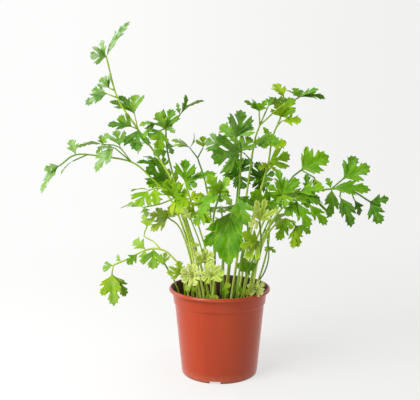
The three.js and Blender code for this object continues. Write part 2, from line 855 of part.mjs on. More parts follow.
// One leaflet: an arched blade, folded a little along its rib, of even thickness, whose foot starts
// just inside its stalk.
function leaflet(fork, tip, face, widthRatio) {
  const along = tip.clone().sub(fork).normalize();
  const foot = fork.clone().addScaledVector(along, FOOT_START);
  const length = foot.distanceTo(tip);
  const normal = new THREE.Vector3(...face);
  normal.addScaledVector(along, -normal.dot(along)).normalize();
  const across = new THREE.Vector3().crossVectors(along, normal);
  const { rib, outline, faces } = leafletPattern(length, widthRatio);
  const flat = [...rib.map((u) => [u, 0]), ...outline];
  const positions = [];
  const add = (side, ...corners) => {
    for (const [index, level] of side > 0 ? corners : corners.reverse()) {
      const [u, w] = flat[index];
      const sideways = (w * widthRatio * length) / 2;
      const lift = 4 * BLADE_ARCH * length * u * (1 - u) + BLADE_FOLD * sideways;
      const spot = foot.clone().addScaledVector(along, u * length);
      spot.addScaledVector(across, side * sideways);
      spot.addScaledVector(normal, lift + (level * BLADE_THICKNESS) / 2);
      positions.push(spot.x, spot.y, spot.z);
    }
  };
  const edge = [0, ...outline.map((_, i) => rib.length + i), rib.length - 1];
  for (const side of [1, -1]) {
    for (const [a, b, c] of faces) {
      add(side, [a, 1], [b, 1], [c, 1]);
      add(side, [a, -1], [c, -1], [b, -1]);
    }
    for (let i = 0; i + 1 < edge.length; i += 1) {
      const [a, b] = [edge[i], edge[i + 1]];
      add(side, [a, -1], [b, -1], [b, 1]);
      add(side, [a, -1], [b, 1], [a, 1]);
    }
  }
  const geometry = new THREE.BufferGeometry();
  geometry.setAttribute("position", new THREE.Float32BufferAttribute(positions, 3));
  return toSolid(geometry);
}

// One leaf: its stem up from the soil, the stalks that branch off it, and their leaflets.
function frond({ root: [x, y], girth, stem, sprigs }) {
  const collar = new THREE.Vector3(x, y, COLLAR_HEIGHT);
  const base = new THREE.Vector3(x, y, SOIL_TOP - ROOT_DEPTH);
  const stemPoints = [collar, ...stem.map(place)];
  const line = smoothLine(stemPoints);
  const solids = [stalkSolid([base, ...line.points], girth, STEM_TIP_RADIUS, STEM_SIDES)];
  for (const { at, stalk = [], face, tips } of sprigs) {
    let fork = at < stem.length ? placeOn(line, at) : stemPoints.at(-1);
    if (stalk.length) {
      const stalkPoints = [fork, ...stalk.map(place)];
      solids.push(stalkSolid(smoothLine(stalkPoints).points, STALK_RADIUS, STALK_RADIUS, STALK_SIDES));
      fork = stalkPoints.at(-1);
    }
    for (const [tipX, tipY, tipZ, widthRatio, facing = face] of tips) {
      solids.push(leaflet(fork, place([tipX, tipY, tipZ]), facing, widthRatio));
    }
  }
  return join(solids);
}

// The plain upright hole that a stem stands in.
function stemHole({ root: [x, y], girth }) {
  const radius = (girth + HOLE_GAP) / Math.cos(Math.PI / HOLE_SIDES);
  const depth = ROOT_DEPTH + HOLE_GAP;
  const hole = new THREE.CylinderGeometry(radius, radius, 2 * depth, HOLE_SIDES)
    .rotateX(Math.PI / 2)
    .translate(x, y, SOIL_TOP);
  return toSolid(hole);
}

const finish = (color, roughness) =>
  new THREE.MeshStandardMaterial({ color, roughness, metalness: 0 });
const plasticMaterial = () => finish(0xb4472a, 0.42);
const soilMaterial = () => finish(0x1d130d, 0.95);
const leafMaterial = (gold) => finish(gold ? 0xb9c84a : 0x4f9a2b, 0.5);

function named(name, solid, material) {
  const mesh = new THREE.Mesh(toGeometry(solid), material);
  mesh.name = name;
  return mesh;
}

const parsley = new THREE.Group();
parsley.add(named("pot", pot(), plasticMaterial()));
const holes = join(FRONDS.map(stemHole));
parsley.add(named("soil", soilBlock().subtract(holes), soilMaterial()));
for (const spec of FRONDS) {
  const gold = spec.name.startsWith("gold");
  parsley.add(named(`frond_${spec.name}`, frond(spec), leafMaterial(gold)));
}

export default parsley;
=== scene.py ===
import itertools
import math
import random

import bpy
import numpy as np
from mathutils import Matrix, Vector, geometry, noise


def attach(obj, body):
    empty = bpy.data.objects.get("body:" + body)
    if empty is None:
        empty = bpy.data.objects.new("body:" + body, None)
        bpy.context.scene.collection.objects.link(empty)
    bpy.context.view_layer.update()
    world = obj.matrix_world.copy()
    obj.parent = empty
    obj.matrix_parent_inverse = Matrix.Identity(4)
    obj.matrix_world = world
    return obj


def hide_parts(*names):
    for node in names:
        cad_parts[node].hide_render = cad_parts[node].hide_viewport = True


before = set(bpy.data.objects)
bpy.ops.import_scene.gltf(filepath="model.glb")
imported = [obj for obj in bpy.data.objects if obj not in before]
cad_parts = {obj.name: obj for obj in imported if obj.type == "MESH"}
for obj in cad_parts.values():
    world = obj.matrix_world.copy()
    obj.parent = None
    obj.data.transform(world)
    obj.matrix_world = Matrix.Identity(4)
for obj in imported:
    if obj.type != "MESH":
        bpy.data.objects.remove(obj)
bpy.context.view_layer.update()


# The view
# The eye is level with the upper leaves and looks a little down, and slightly past the pot's left.
EYE = Vector((0, -0.820, 0.320))
LOOK_DOWN = math.radians(6.7)
LOOK_LEFT = math.radians(0.86)
LENS = 55.7

bpy.ops.object.select_all(action="DESELECT")
bpy.ops.object.camera_add(location=EYE, rotation=(math.pi / 2 - LOOK_DOWN, 0, LOOK_LEFT))
camera = bpy.context.object
camera.name = "view_from_the_front"
camera.data.lens = LENS
bpy.context.scene.camera = camera
bpy.context.scene.view_settings.view_transform = "Standard"


# The studio
# A white room, brighter on the left and dimmer behind the eye, with a large soft light from the
# upper left, a weak one from the side, and a pale floor that runs out of sight into the white.
ROOM_LEFT = (0.985, 0.985, 0.98, 1)
ROOM_RIGHT = (0.88, 0.88, 0.87, 1)
ROOM_SPREAD = 0.32
FLOOR_NEAR = (0.76, 0.76, 0.75, 1)
FLOOR_RADIUS = 40
LIGHT_AIM = Vector((0, 0, 0.2))
SOFT_LIGHTS = [
    ("soft_light_left", (-1.0, -0.9, 1.2), 1.1, 34),
    ("soft_light_side", (-1.2, 0.35, 0.45), 0.9, 3),
]

# Here and below, a fade is a range and what it becomes at its two ends.
ROOM_FADE_BEHIND = (-0.8, 0.3, 0.16, 1.0)
ROOM_FADE_RIGHT = (0.2, 0.9, 1.0, 0.8)
FLOOR_FADE = (0.10, 1.1, 0.68, 1.0)


def give(material, socket, value):
    """Sets a socket to a value, or links it to another node's output."""
    if isinstance(value, bpy.types.NodeSocket):
        material.node_tree.links.new(value, socket)
    else:
        socket.default_value = value


def add_node(material, kind, **inputs):
    """Adds a shader node; a name that is an input sets it, and any other sets a property."""
    node = material.node_tree.nodes.new(f"ShaderNode{kind}")
    for name, value in inputs.items():
        socket = node.inputs.get(name.replace("_", " "))
        if socket is None:
            setattr(node, name, value)
        else:
            give(material, socket, value)
    return node


def spread(material, value, low, high, to_low=0.0, to_high=1.0):
    """The value, stretched from its own range onto another and held to it."""
    node = add_node(material, "MapRange", interpolation_type="SMOOTHSTEP", Value=value)
    for name, bound in zip(("From Min", "From Max", "To Min", "To Max"), (low, high, to_low, to_high)):
        node.inputs[name].default_value = bound
    return node.outputs["Result"]


def blended(material, share, first, second):
    """A colour between two, each of which is a colour or another node's output."""
    node = add_node(material, "Mix", data_type="RGBA")
    for number, value in ((0, share), (6, first), (7, second)):
        give(material, node.inputs[number], value)
    return node.outputs[2]


def calculated(material, operation, *values):
    """A sum, product or the like of values, each a number or another node's output."""
    node = add_node(material, "Math", operation=operation)
    for socket, value in zip(node.inputs, values):
        give(material, socket, value)
    return node.outputs[0]


def mixed_shader(material, share, first, second):
    """A surface or light between two others."""
    node = add_node(material, "MixShader", Fac=share)
    give(material, node.inputs[1], first.outputs[0])
    give(material, node.inputs[2], second.outputs[0])
    return node.outputs[0]


def new_material(name):
    """A material with no nodes yet."""
    material = bpy.data.materials.new(name)
    material.use_nodes = True
    material.node_tree.nodes.clear()
    return material


def room_white(surface, heading):
    """The room's white in the direction of a heading: brighter to the left."""
    side = add_node(surface, "SeparateXYZ", Vector=heading).outputs["X"]
    return blended(surface, spread(surface, side, -ROOM_SPREAD, ROOM_SPREAD), ROOM_LEFT, ROOM_RIGHT)


room = bpy.data.worlds.new("white_room")
room.use_nodes = True
room.node_tree.nodes.clear()
bpy.context.scene.world = room
room_heading = add_node(room, "TexCoord").outputs["Generated"]
room_colour = room_white(room, room_heading)
room_axes = add_node(room, "SeparateXYZ", Vector=room_heading).outputs
room_power = calculated(room, "MULTIPLY", spread(room, room_axes["Y"], *ROOM_FADE_BEHIND),
                        spread(room, room_axes["X"], *ROOM_FADE_RIGHT))
room_light = add_node(room, "Background", Color=room_colour, Strength=room_power)
room_seen = add_node(room, "Background", Color=room_colour, Strength=1.0)
room_watched = add_node(room, "LightPath").outputs["Is Camera Ray"]
add_node(room, "OutputWorld", Surface=mixed_shader(room, room_watched, room_light, room_seen))

for name, spot, width, power in SOFT_LIGHTS:
    bpy.ops.object.light_add(type="AREA", location=spot)
    light = bpy.context.object
    light.name = name
    light.data.shape = "DISK"
    light.data.size = width
    light.data.energy = power
    light.rotation_euler = (LIGHT_AIM - light.location).to_track_quat("-Z", "Y").to_euler()

bpy.ops.mesh.primitive_circle_add(vertices=64, radius=FLOOR_RADIUS, fill_type="NGON", location=(0, 0, 0))
floor = bpy.context.object
floor.name = "pale_floor"
floor_finish = new_material("pale_floor")
floor_place = add_node(floor_finish, "TexCoord").outputs["Object"]
floor_reach = add_node(floor_finish, "VectorMath", operation="LENGTH", Vector=floor_place)
floor_from_eye = add_node(floor_finish, "Mapping", Vector=floor_place, Location=-EYE)
floor_heading = add_node(floor_finish, "VectorMath", operation="NORMALIZE", Vector=floor_from_eye.outputs[0])
floor_matt = add_node(floor_finish, "BsdfDiffuse", Color=FLOOR_NEAR)
floor_far = add_node(floor_finish, "Emission", Color=room_white(floor_finish, floor_heading.outputs[0]))
floor_share = spread(floor_finish, floor_reach.outputs["Value"], *FLOOR_FADE)
add_node(floor_finish, "OutputMaterial",
         Surface=mixed_shader(floor_finish, floor_share, floor_matt, floor_far))
floor.data.materials.append(floor_finish)


# The nursery pot
# One thin moulding of terracotta-coloured plastic, with a rolled lip, a band that steps in below
# it, a tapered wall, and four notches and drain holes round its raised foot.
RIM_RADIUS = 0.0650
RIM_HEIGHT = 0.1120
BAND_RADIUS = 0.0606
STEP_RADIUS = 0.0576
STEP_HEIGHT = 0.0915
STEP_DEPTH = 0.0016
FOOT_RADIUS = 0.0492
WALL = 0.0016
FLOOR_RISE = 0.0032
PAD_RADIUS = 0.022
PAD_SLOPE = 0.002
FOOT_RING = 0.0045
POT_SIDES = 144
NOTCH_WIDTH = 0.014
NOTCH_TURN = math.radians(-96.6)
DRAIN_RADIUS = 0.0035
DRAIN_RING = 0.033
DRAIN_SIDES = 24
POT_SMOOTH = math.radians(38)
PLASTIC_RED = (0.39, 0.033, 0.001, 1)
PLASTIC_PALE = (0.44, 0.044, 0.002, 1)
PLASTIC_DUST = (0.50, 0.20, 0.12, 1)
# Near black inside the pot: partly a soil stain, partly painted shade where little light reaches.
INSIDE_STAIN_AND_SHADE = (0.030, 0.008, 0.006, 1)
STREAK_SCALE = 26
STREAK_STRETCH = (1, 1, 0.12)
MOTTLE_SCALE = 90
GRAIN_SCALE = 1500
PLASTIC_SHINE = 0.4
PLASTIC_ROUGH = (0.3, 0.7, 0.19, 0.27)
STAIN_AND_SHADE_ROUGH = 0.55
STAIN_AND_SHADE_FADE = (0.0002, 0.0009, 0.0, 0.92)
DUST_FADE = (0.014, 0.0, 0.0, 0.6)
BAND_FADE = (STEP_HEIGHT, STEP_HEIGHT + STEP_DEPTH, 0.0, STEP_DEPTH)
LIP_FADE = (RIM_HEIGHT - 0.0035, RIM_HEIGHT - 0.0025, 0.0, 0.0018)
LIP_TOP_PALE_FADE = (RIM_HEIGHT - 0.0045, RIM_HEIGHT - 0.003, 0.0, 0.12)

# The rolled lip's section, from below it over the top to inside: how far in from the rim, how far down.
LIP_SECTION = [(0.0010, 0.0044), (0.0002, 0.0037), (0, 0.0026), (0.0003, 0.0012), (0.0011, 0.0003),
               (0.0022, 0), (0.0036, 0.0003), (0.0047, 0.0013)]
POT_PROFILE = [
    (PAD_RADIUS, 0), (PAD_RADIUS + PAD_SLOPE, FLOOR_RISE), (FOOT_RADIUS - FOOT_RING, FLOOR_RISE),
    (FOOT_RADIUS - FOOT_RING, 0), (FOOT_RADIUS - 0.0011, 0), (FOOT_RADIUS - 0.0004, 0.0008),
    (FOOT_RADIUS, 0.003), (STEP_RADIUS - 0.0003, STEP_HEIGHT - 0.003), (STEP_RADIUS, STEP_HEIGHT),
    (STEP_RADIUS + 0.0006, STEP_HEIGHT + 0.0004), (STEP_RADIUS + STEP_DEPTH - 0.0002, STEP_HEIGHT + 0.0011),
    (STEP_RADIUS + STEP_DEPTH, STEP_HEIGHT + STEP_DEPTH + 0.0004), (BAND_RADIUS, RIM_HEIGHT - 0.0046),
    *[(RIM_RADIUS - inward, RIM_HEIGHT - down) for inward, down in LIP_SECTION],
    (BAND_RADIUS - WALL, RIM_HEIGHT - 0.004), (STEP_RADIUS - WALL + 0.0009, STEP_HEIGHT + STEP_DEPTH),
    (STEP_RADIUS - WALL, STEP_HEIGHT), (FOOT_RADIUS - WALL + 0.0004, FLOOR_RISE + WALL),
    (PAD_RADIUS + PAD_SLOPE, FLOOR_RISE + WALL), (PAD_RADIUS, WALL),
]


def turned_piece(name, profile, sides):
    """Draws a ring up through a profile of radius and height, and closes it at both ends."""
    bpy.ops.object.select_all(action="DESELECT")
    radius, height = profile[0]
    bpy.ops.mesh.primitive_circle_add(vertices=sides, radius=radius, location=(0, 0, 0))
    piece = bpy.context.object
    piece.name = name
    bpy.ops.object.mode_set(mode="EDIT")
    bpy.ops.mesh.select_all(action="SELECT")
    bpy.ops.transform.translate(value=(0, 0, height))
    bpy.ops.mesh.edge_face_add()
    for next_radius, next_height in profile[1:]:
        rise = {"value": (0, 0, next_height - height)}
        bpy.ops.mesh.extrude_region_move(TRANSFORM_OT_translate=rise)
        scale = next_radius / radius
        bpy.ops.transform.resize(value=(scale, scale, 1), center_override=(0, 0, next_height))
        radius, height = next_radius, next_height
    bpy.ops.mesh.select_all(action="SELECT")
    bpy.ops.mesh.normals_make_consistent(inside=False)
    bpy.ops.object.mode_set(mode="OBJECT")
    return piece


def cut_away(piece, cutter):
    """Cuts the cutter's shape out of the piece."""
    cut = piece.modifiers.new("cut", "BOOLEAN")
    cut.object = cutter
    cut.operation = "DIFFERENCE"
    bpy.context.view_layer.objects.active = piece
    bpy.ops.object.modifier_apply(modifier=cut.name)
    bpy.data.objects.remove(cutter)


def clouded(material, place, scale, detail, roughness=0.5):
    """A cloudy value at a place, mostly between 0.3 and 0.7."""
    node = add_node(material, "TexNoise", Vector=place, Scale=scale, Detail=detail, Roughness=roughness)
    return node.outputs["Fac"]


def relief(material, height, strength, distance):
    """The fine relief that a value gives a surface."""
    return add_node(material, "Bump", Height=height, Strength=strength, Distance=distance).outputs[0]


def one_surface(material, colour, rough, shine, bump):
    """The material with one plain surface of this colour, roughness, shine and relief."""
    shader = add_node(material, "BsdfPrincipled", Base_Color=colour, Roughness=rough, Normal=bump,
                      Specular_IOR_Level=shine)
    add_node(material, "OutputMaterial", Surface=shader.outputs[0])
    return material


def pot_plastic():
    """Satin plastic: faintly streaked colour, dust towards the floor, a paler top to the lip, and inside a
    soil stain with painted shade.
    """
    plastic = new_material("terracotta_plastic")
    place = add_node(plastic, "TexCoord").outputs["Object"]
    stretch = add_node(plastic, "Mapping", Vector=place, Scale=STREAK_STRETCH)
    streaks = clouded(plastic, stretch.outputs[0], STREAK_SCALE, 4)
    mottle = clouded(plastic, place, MOTTLE_SCALE, 5, 0.6)
    colour = blended(plastic, spread(plastic, streaks, 0.3, 0.7), PLASTIC_RED, PLASTIC_PALE)
    parts = add_node(plastic, "SeparateXYZ", Vector=place).outputs
    dust = calculated(plastic, "MULTIPLY", spread(plastic, parts["Z"], *DUST_FADE), mottle)
    colour = blended(plastic, dust, colour, PLASTIC_DUST)
    level = add_node(plastic, "CombineXYZ", X=parts["X"], Y=parts["Y"])
    reach = add_node(plastic, "VectorMath", operation="LENGTH", Vector=level.outputs[0])
    slope = (STEP_RADIUS - FOOT_RADIUS) / STEP_HEIGHT
    wall = calculated(plastic, "MULTIPLY_ADD", parts["Z"], slope, FOOT_RADIUS)
    steps = calculated(plastic, "ADD", spread(plastic, parts["Z"], *BAND_FADE),
                       spread(plastic, parts["Z"], *LIP_FADE))
    wall = calculated(plastic, "ADD", wall, steps)
    # Inside the wall the colour darkens: partly a soil stain, partly painted shade.
    stain_and_shade = spread(plastic, calculated(plastic, "SUBTRACT", wall, reach.outputs["Value"]), *STAIN_AND_SHADE_FADE)
    # The outer top of the lip is blended towards the dust colour, so it is paler.
    paler_lip_top = spread(plastic, parts["Z"], *LIP_TOP_PALE_FADE)
    colour = blended(plastic, paler_lip_top, colour, PLASTIC_DUST)
    colour = blended(plastic, stain_and_shade, colour, INSIDE_STAIN_AND_SHADE)
    rough = calculated(plastic, "MULTIPLY_ADD", stain_and_shade, STAIN_AND_SHADE_ROUGH, spread(plastic, mottle, *PLASTIC_ROUGH))
    bump = relief(plastic, clouded(plastic, place, GRAIN_SCALE, 2), 0.04, 0.0003)
    return one_surface(plastic, colour, rough, PLASTIC_SHINE, bump)


pot = turned_piece("nursery_pot", POT_PROFILE, POT_SIDES)
for quarter in range(4):
    turn = NOTCH_TURN + quarter * math.pi / 2
    outward = Vector((math.cos(turn), math.sin(turn), 0))
    bpy.ops.mesh.primitive_cube_add(size=1, location=FOOT_RADIUS * outward, rotation=(0, 0, turn))
    notch = bpy.context.object
    notch.scale = (4 * FOOT_RING, NOTCH_WIDTH, 2 * FLOOR_RISE)
    bpy.ops.object.transform_apply(scale=True)
    cut_away(pot, notch)
    bpy.ops.mesh.primitive_cylinder_add(vertices=DRAIN_SIDES, radius=DRAIN_RADIUS, depth=0.03,
                                        location=DRAIN_RING * outward)
    cut_away(pot, bpy.context.object)
bpy.ops.object.select_all(action="DESELECT")
pot.select_set(True)
bpy.context.view_layer.objects.active = pot
bpy.ops.object.shade_smooth_by_angle(angle=POT_SMOOTH)
pot.data.materials.append(pot_plastic())
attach(pot, "root")
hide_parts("pot")


# The compost
# Dark peat compost that fills the pot to a little below its band: a lumpy top with loose crumbs
# and a few fibres on it, pressed against the wall at its side.
SOIL_TOP = 0.0890
SOIL_RADIUS = 0.0553
SOIL_BASE_RADIUS = 0.0462
SOIL_BASE = 0.0052
SOIL_SIDES = 120
SOIL_RINGS = 26
SOIL_SMOOTH = math.radians(50)
CRUMB_COUNT = 340
CRUMB_SIZES = (0.0006, 0.0021)
CRUMB_JAG = (0.7, 1.25)
CRUMB_LIFT = 0.35
CRUMB_MARGIN = 0.003
FIBRE_COUNT = 46
FIBRE_WIDTHS = (0.00018, 0.00032)
FIBRE_POINTS = 7
FIBRE_STEP = 0.0015
FIBRE_LIFTS = (0.0004, 0.0010)
FIBRE_TURN = 0.5
FIBRE_MARGIN = 0.012
PEAT_ROUGH = 0.93
PEAT_SHINE = 0.2
FIBRE_ROUGH = 0.85
PEAT_BLACK = (0.011, 0.007, 0.005, 1)
PEAT_BROWN = (0.060, 0.034, 0.018, 1)
FIBRE_BROWN = (0.11, 0.062, 0.030, 1)
FIBRE_DRY = (0.20, 0.125, 0.065, 1)

# The lumps of its top, broad to fine: how many to a metre, how high, and which layer of noise.
SOIL_LUMPS = [(42, 0.0011, 3.1), (130, 0.0008, 7.7), (360, 0.0005, 1.9)]


def soil_height(x, y):
    """How high the top of the compost is at a place."""
    return SOIL_TOP + sum(high * noise.noise(Vector((x * many, y * many, layer)))
                          for many, high, layer in SOIL_LUMPS)


def soil_block():
    """The compost as one block, with its top in fine rings that are raised into lumps."""
    bpy.ops.object.select_all(action="DESELECT")
    bpy.ops.mesh.primitive_circle_add(vertices=SOIL_SIDES, radius=SOIL_BASE_RADIUS, fill_type="NGON",
                                      location=(0, 0, SOIL_BASE))
    block = bpy.context.object
    bpy.ops.object.mode_set(mode="EDIT")
    bpy.ops.mesh.select_all(action="SELECT")
    bpy.ops.mesh.extrude_region_move(TRANSFORM_OT_translate={"value": (0, 0, SOIL_TOP - SOIL_BASE)})
    scale = SOIL_RADIUS / SOIL_BASE_RADIUS
    bpy.ops.transform.resize(value=(scale, scale, 1), center_override=(0, 0, SOIL_TOP))
    for ring in range(SOIL_RINGS):
        bpy.ops.mesh.inset(thickness=SOIL_RADIUS / (SOIL_RINGS + 1), use_even_offset=False)
    bpy.ops.mesh.poke()
    bpy.ops.mesh.select_all(action="SELECT")
    bpy.ops.mesh.normals_make_consistent(inside=False)
    bpy.ops.object.mode_set(mode="OBJECT")
    bpy.ops.object.transform_apply(location=True)
    for vertex in block.data.vertices:
        if vertex.co.z > SOIL_TOP - 1e-4:
            vertex.co.z = soil_height(vertex.co.x, vertex.co.y)
    return block


def soil_crumb(chance):
    """One loose crumb, pressed a little into the top."""
    size = chance.uniform(*CRUMB_SIZES)
    reach = (SOIL_RADIUS - CRUMB_MARGIN) * math.sqrt(chance.random())
    turn = chance.uniform(0, 2 * math.pi)
    x, y = reach * math.cos(turn), reach * math.sin(turn)
    place = (x, y, soil_height(x, y) + size * CRUMB_LIFT)
    bpy.ops.mesh.primitive_ico_sphere_add(subdivisions=1, radius=size, location=place)
    crumb = bpy.context.object
    for vertex in crumb.data.vertices:
        vertex.co *= chance.uniform(*CRUMB_JAG)
    return crumb


def soil_fibre(chance):
    """One thin strand of peat that lies on the top."""
    turn = chance.uniform(0, 2 * math.pi)
    reach = (SOIL_RADIUS - FIBRE_MARGIN) * math.sqrt(chance.random())
    heading = chance.uniform(0, 2 * math.pi)
    x, y = reach * math.cos(turn), reach * math.sin(turn)
    strand = bpy.data.curves.new("fibre", "CURVE")
    strand.dimensions = "3D"
    strand.bevel_depth = chance.uniform(*FIBRE_WIDTHS)
    strand.bevel_resolution = 0
    strand.use_fill_caps = True
    spline = strand.splines.new("POLY")
    spline.points.add(FIBRE_POINTS - 1)
    for point in spline.points:
        point.co = (x, y, soil_height(x, y) + chance.uniform(*FIBRE_LIFTS), 1)
        heading += chance.uniform(-FIBRE_TURN, FIBRE_TURN)
        x += FIBRE_STEP * math.cos(heading)
        y += FIBRE_STEP * math.sin(heading)
    piece = bpy.data.objects.new("fibre", strand)
    bpy.context.scene.collection.objects.link(piece)
    return piece


def peat():
    """Damp peat: near black with brown crumbs, all matt."""
    compost = new_material("peat_compost")
    place = add_node(compost, "TexCoord").outputs["Object"]
    patches = clouded(compost, place, 150, 6, 0.7)
    crumbs = add_node(compost, "TexVoronoi", Vector=place, Scale=620).outputs["Distance"]
    colour = blended(compost, spread(compost, patches, 0.42, 0.74), PEAT_BLACK, PEAT_BROWN)
    colour = blended(compost, spread(compost, crumbs, 0.75, 0.95), colour, FIBRE_BROWN)
    bump = relief(compost, patches, 0.8, 0.001)
    return one_surface(compost, colour, PEAT_ROUGH, PEAT_SHINE, bump)


def strand_finish():
    """Dry peat fibre, brown and matt."""
    finish = new_material("peat_fibre")
    place = add_node(finish, "TexCoord").outputs["Object"]
    colour = blended(finish, clouded(finish, place, 400, 3), PEAT_BROWN, FIBRE_DRY)
    shader = add_node(finish, "BsdfPrincipled", Base_Color=colour, Roughness=FIBRE_ROUGH)
    add_node(finish, "OutputMaterial", Surface=shader.outputs[0])
    return finish


def joined(pieces, name):
    """The pieces as one mesh, whose object lies at the origin."""
    bpy.ops.object.select_all(action="DESELECT")
    for piece in pieces:
        piece.select_set(True)
    bpy.context.view_layer.objects.active = pieces[0]
    bpy.ops.object.join()
    whole = bpy.context.object
    bpy.ops.object.transform_apply(location=True, rotation=True, scale=True)
    whole.name = name
    return whole


soil_chance = random.Random(11)
soil = joined([soil_block(), *[soil_crumb(soil_chance) for _ in range(CRUMB_COUNT)]], "compost")
soil.data.materials.append(peat())
bpy.ops.object.shade_smooth_by_angle(angle=SOIL_SMOOTH)
fibres = [soil_fibre(soil_chance) for _ in range(FIBRE_COUNT)]
bpy.ops.object.select_all(action="DESELECT")
for strand in fibres:
    strand.select_set(True)
bpy.context.view_layer.objects.active = fibres[0]
bpy.ops.object.convert(target="MESH")
strands = joined(list(bpy.context.selected_objects), "peat_fibres")
strands.data.materials.append(strand_finish())
for piece in (soil, strands):
    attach(piece, "root")
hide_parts("soil")


# The leaf stalks
# Each leaf stands on one ribbed green stalk, pale where it leaves the compost, which branches
# near its top into finer stalks that carry the leaflets.
STALK_SIDES = 12
STALK_STEP = 0.006
STALK_RIBS = 0.08
STALK_TIP_RADIUS = 0.00105
BRANCH_RADIUS = 0.00095
COLLAR_HEIGHT = 0.092
ROOT_HEIGHT = 0.080
BASE_FLARE = 0.18
FLARE_HEIGHT = 0.018
BRANCH_TAPER = 0.85
BRANCH_SHARES = (0.8, 0.2)
NOT_ALONG = (0.3, 0.9, 0.1)
STALK_TONE_SPREAD = (-0.7, 0.8)
# Painted shade: how much darker a stalk is toned for each millimetre its root stands further back.
STALK_SHADE_TOWARD_BACK = 0.009
STALK_ROUGH = 0.35
STALK_SHINE = 0.4

# Here and below, tones are depths and their colours, from pale to deep.
STALK_TONES = [(0.2, (0.62, 0.71, 0.15, 1)), (0.5, (0.34, 0.51, 0.015, 1)), (0.9, (0.09, 0.25, 0.005, 1))]


def seen(point):
    """Where a point lies that the photograph shows at x and z, in millimetres in the upright plane
    through the pot's middle, when it is y behind that plane."""
    x, y, z = (value / 1000 for value in point)
    reach = (y - EYE.y) / -EYE.y
    return np.array((x * reach, y, EYE.z + (z - EYE.z) * reach))


def smooth_line(given):
    """Points a few millimetres apart on a smooth line through the given ones, and where those are."""
    ends = [2 * given[0] - given[1], *given, 2 * given[-1] - given[-2]]
    line, marks = [given[0]], [0]
    for before, start, end, after in zip(ends, ends[1:], ends[2:], ends[3:]):
        count = max(2, round(float(np.linalg.norm(end - start)) / STALK_STEP))
        for t in np.arange(1, count + 1) / count:
            bend = (2 * before - 5 * start + 4 * end - after) * t ** 2
            turn = (3 * start - before - 3 * end + after) * t ** 3
            line.append((2 * start + (end - before) * t + bend + turn) / 2)
        marks.append(len(line) - 1)
    return np.array(line), marks


def place_on(line, marks, number):
    """The place on such a line at a number of given points from its start."""
    index = np.interp(number, range(len(marks)), marks)
    return np.array([np.interp(index, range(len(line)), line[:, axis]) for axis in range(3)])


def stalk_mesh(line, start_radius, end_radius, from_soil=False):
    """A ribbed, tapering stalk along a line: its points, faces, and length and side shares."""
    ahead = np.gradient(line, axis=0)
    ahead /= np.linalg.norm(ahead, axis=1)[:, None]
    across = np.cross(ahead[0], NOT_ALONG)
    turns = np.arange(STALK_SIDES) * 2 * math.pi / STALK_SIDES
    ribs = 1 + STALK_RIBS * np.cos(turns * STALK_SIDES / 2)
    points, shares = [], []
    for step, middle in enumerate(line):
        across = across - ahead[step] * (across @ ahead[step])
        across /= np.linalg.norm(across)
        over = np.cross(ahead[step], across)
        share = step / (len(line) - 1)
        radius = start_radius + (end_radius - start_radius) * share
        if from_soil:
            radius *= 1 + BASE_FLARE * max(0.0, 1 - (middle[2] - SOIL_TOP) / FLARE_HEIGHT)
        ring = np.outer(np.cos(turns), across) + np.outer(np.sin(turns), over)
        points.extend(middle + ring * (radius * ribs)[:, None])
        shares.extend((share, side / STALK_SIDES) for side in range(STALK_SIDES))
    faces = [tuple(range(STALK_SIDES))[::-1]]
    for step in range(len(line) - 1):
        low = step * STALK_SIDES
        for side in range(STALK_SIDES):
            after = (side + 1) % STALK_SIDES
            faces.append((low + side, low + after, low + STALK_SIDES + after, low + STALK_SIDES + side))
    last = (len(line) - 1) * STALK_SIDES
    faces.append(tuple(range(last, last + STALK_SIDES)))
    return points, faces, shares


def mark_on(material, name):
    """A value that each point of the mesh carries."""
    return add_node(material, "Attribute", attribute_name=name).outputs["Fac"]


def toned(material, depth, tones):
    """The colour that a list of tones has at a depth."""
    ramp = add_node(material, "ValToRGB", Fac=depth)
    stops = ramp.color_ramp.elements
    stops[0].position, stops[0].color = tones[0]
    stops[1].position, stops[1].color = tones[-1]
    for position, colour in tones[1:-1]:
        stops.new(position).color = colour
    return ramp.outputs[0]


def stalk_finish():
    """Fresh stalk: pale at its foot and greener above, with fine lengthwise streaks."""
    finish = new_material("green_stalk")
    grain = add_node(finish, "UVMap", uv_map="grain").outputs[0]
    share = add_node(finish, "SeparateXYZ", Vector=grain).outputs["X"]
    streaked = add_node(finish, "Mapping", Vector=grain, Scale=(6, 9, 1))
    streaks = clouded(finish, streaked.outputs[0], 3, 4)
    depth = calculated(finish, "MULTIPLY", share, 0.5)
    depth = calculated(finish, "MULTIPLY_ADD", mark_on(finish, "tone"), 0.4, depth)
    depth = calculated(finish, "MULTIPLY_ADD", streaks, 0.3, depth)
    bump = relief(finish, streaks, 0.3, 0.0004)
    return one_surface(finish, toned(finish, depth, STALK_TONES), STALK_ROUGH, STALK_SHINE, bump)


green_stalk = stalk_finish()


# The leaflets
# Thin soft blades with a wedge foot and lobes and teeth that point forward; the broadest hang
# whole. A sunken vein runs to each tooth and the blade swells between the veins.
BLADE_THICKNESS = 0.00035
BLADE_ARCH = 0.09
BLADE_FOLD = 0.22
FOLD_EASE = 0.45
BEND_SPREAD = (0.5, 1.4)
BLADE_SWELL = 0.017
SWELL_REACH = 0.035
BLADE_WAVE = 0.035
WAVE_COUNTS = (6, 11)
WAVE_OFFSET = 1.3
BLADE_ROLL = math.radians(22)
BLADE_TWIST = math.radians(20)
BLADE_GRID = 0.055
GRID_ROWS = 0.87
GRID_CLEAR = 0.45
RIB_REACH = (0.01, 0.97)
RIB_POINTS = 16
CORNER_CUT = 0.2
LARGE_BLADE = 0.038
SMALL_BLADE = 0.028
LOBED_RATIO = 0.9
VARIANTS = 3
BETWEEN_LENGTH = 0.66
BETWEEN_RATIO = 0.8
BETWEEN_BEHIND = np.array((0, 0.003, 0))
NARROWEST_PAIR = 0.5
WIDE_GAP = 1.2
NARROW_GAP = 1.9

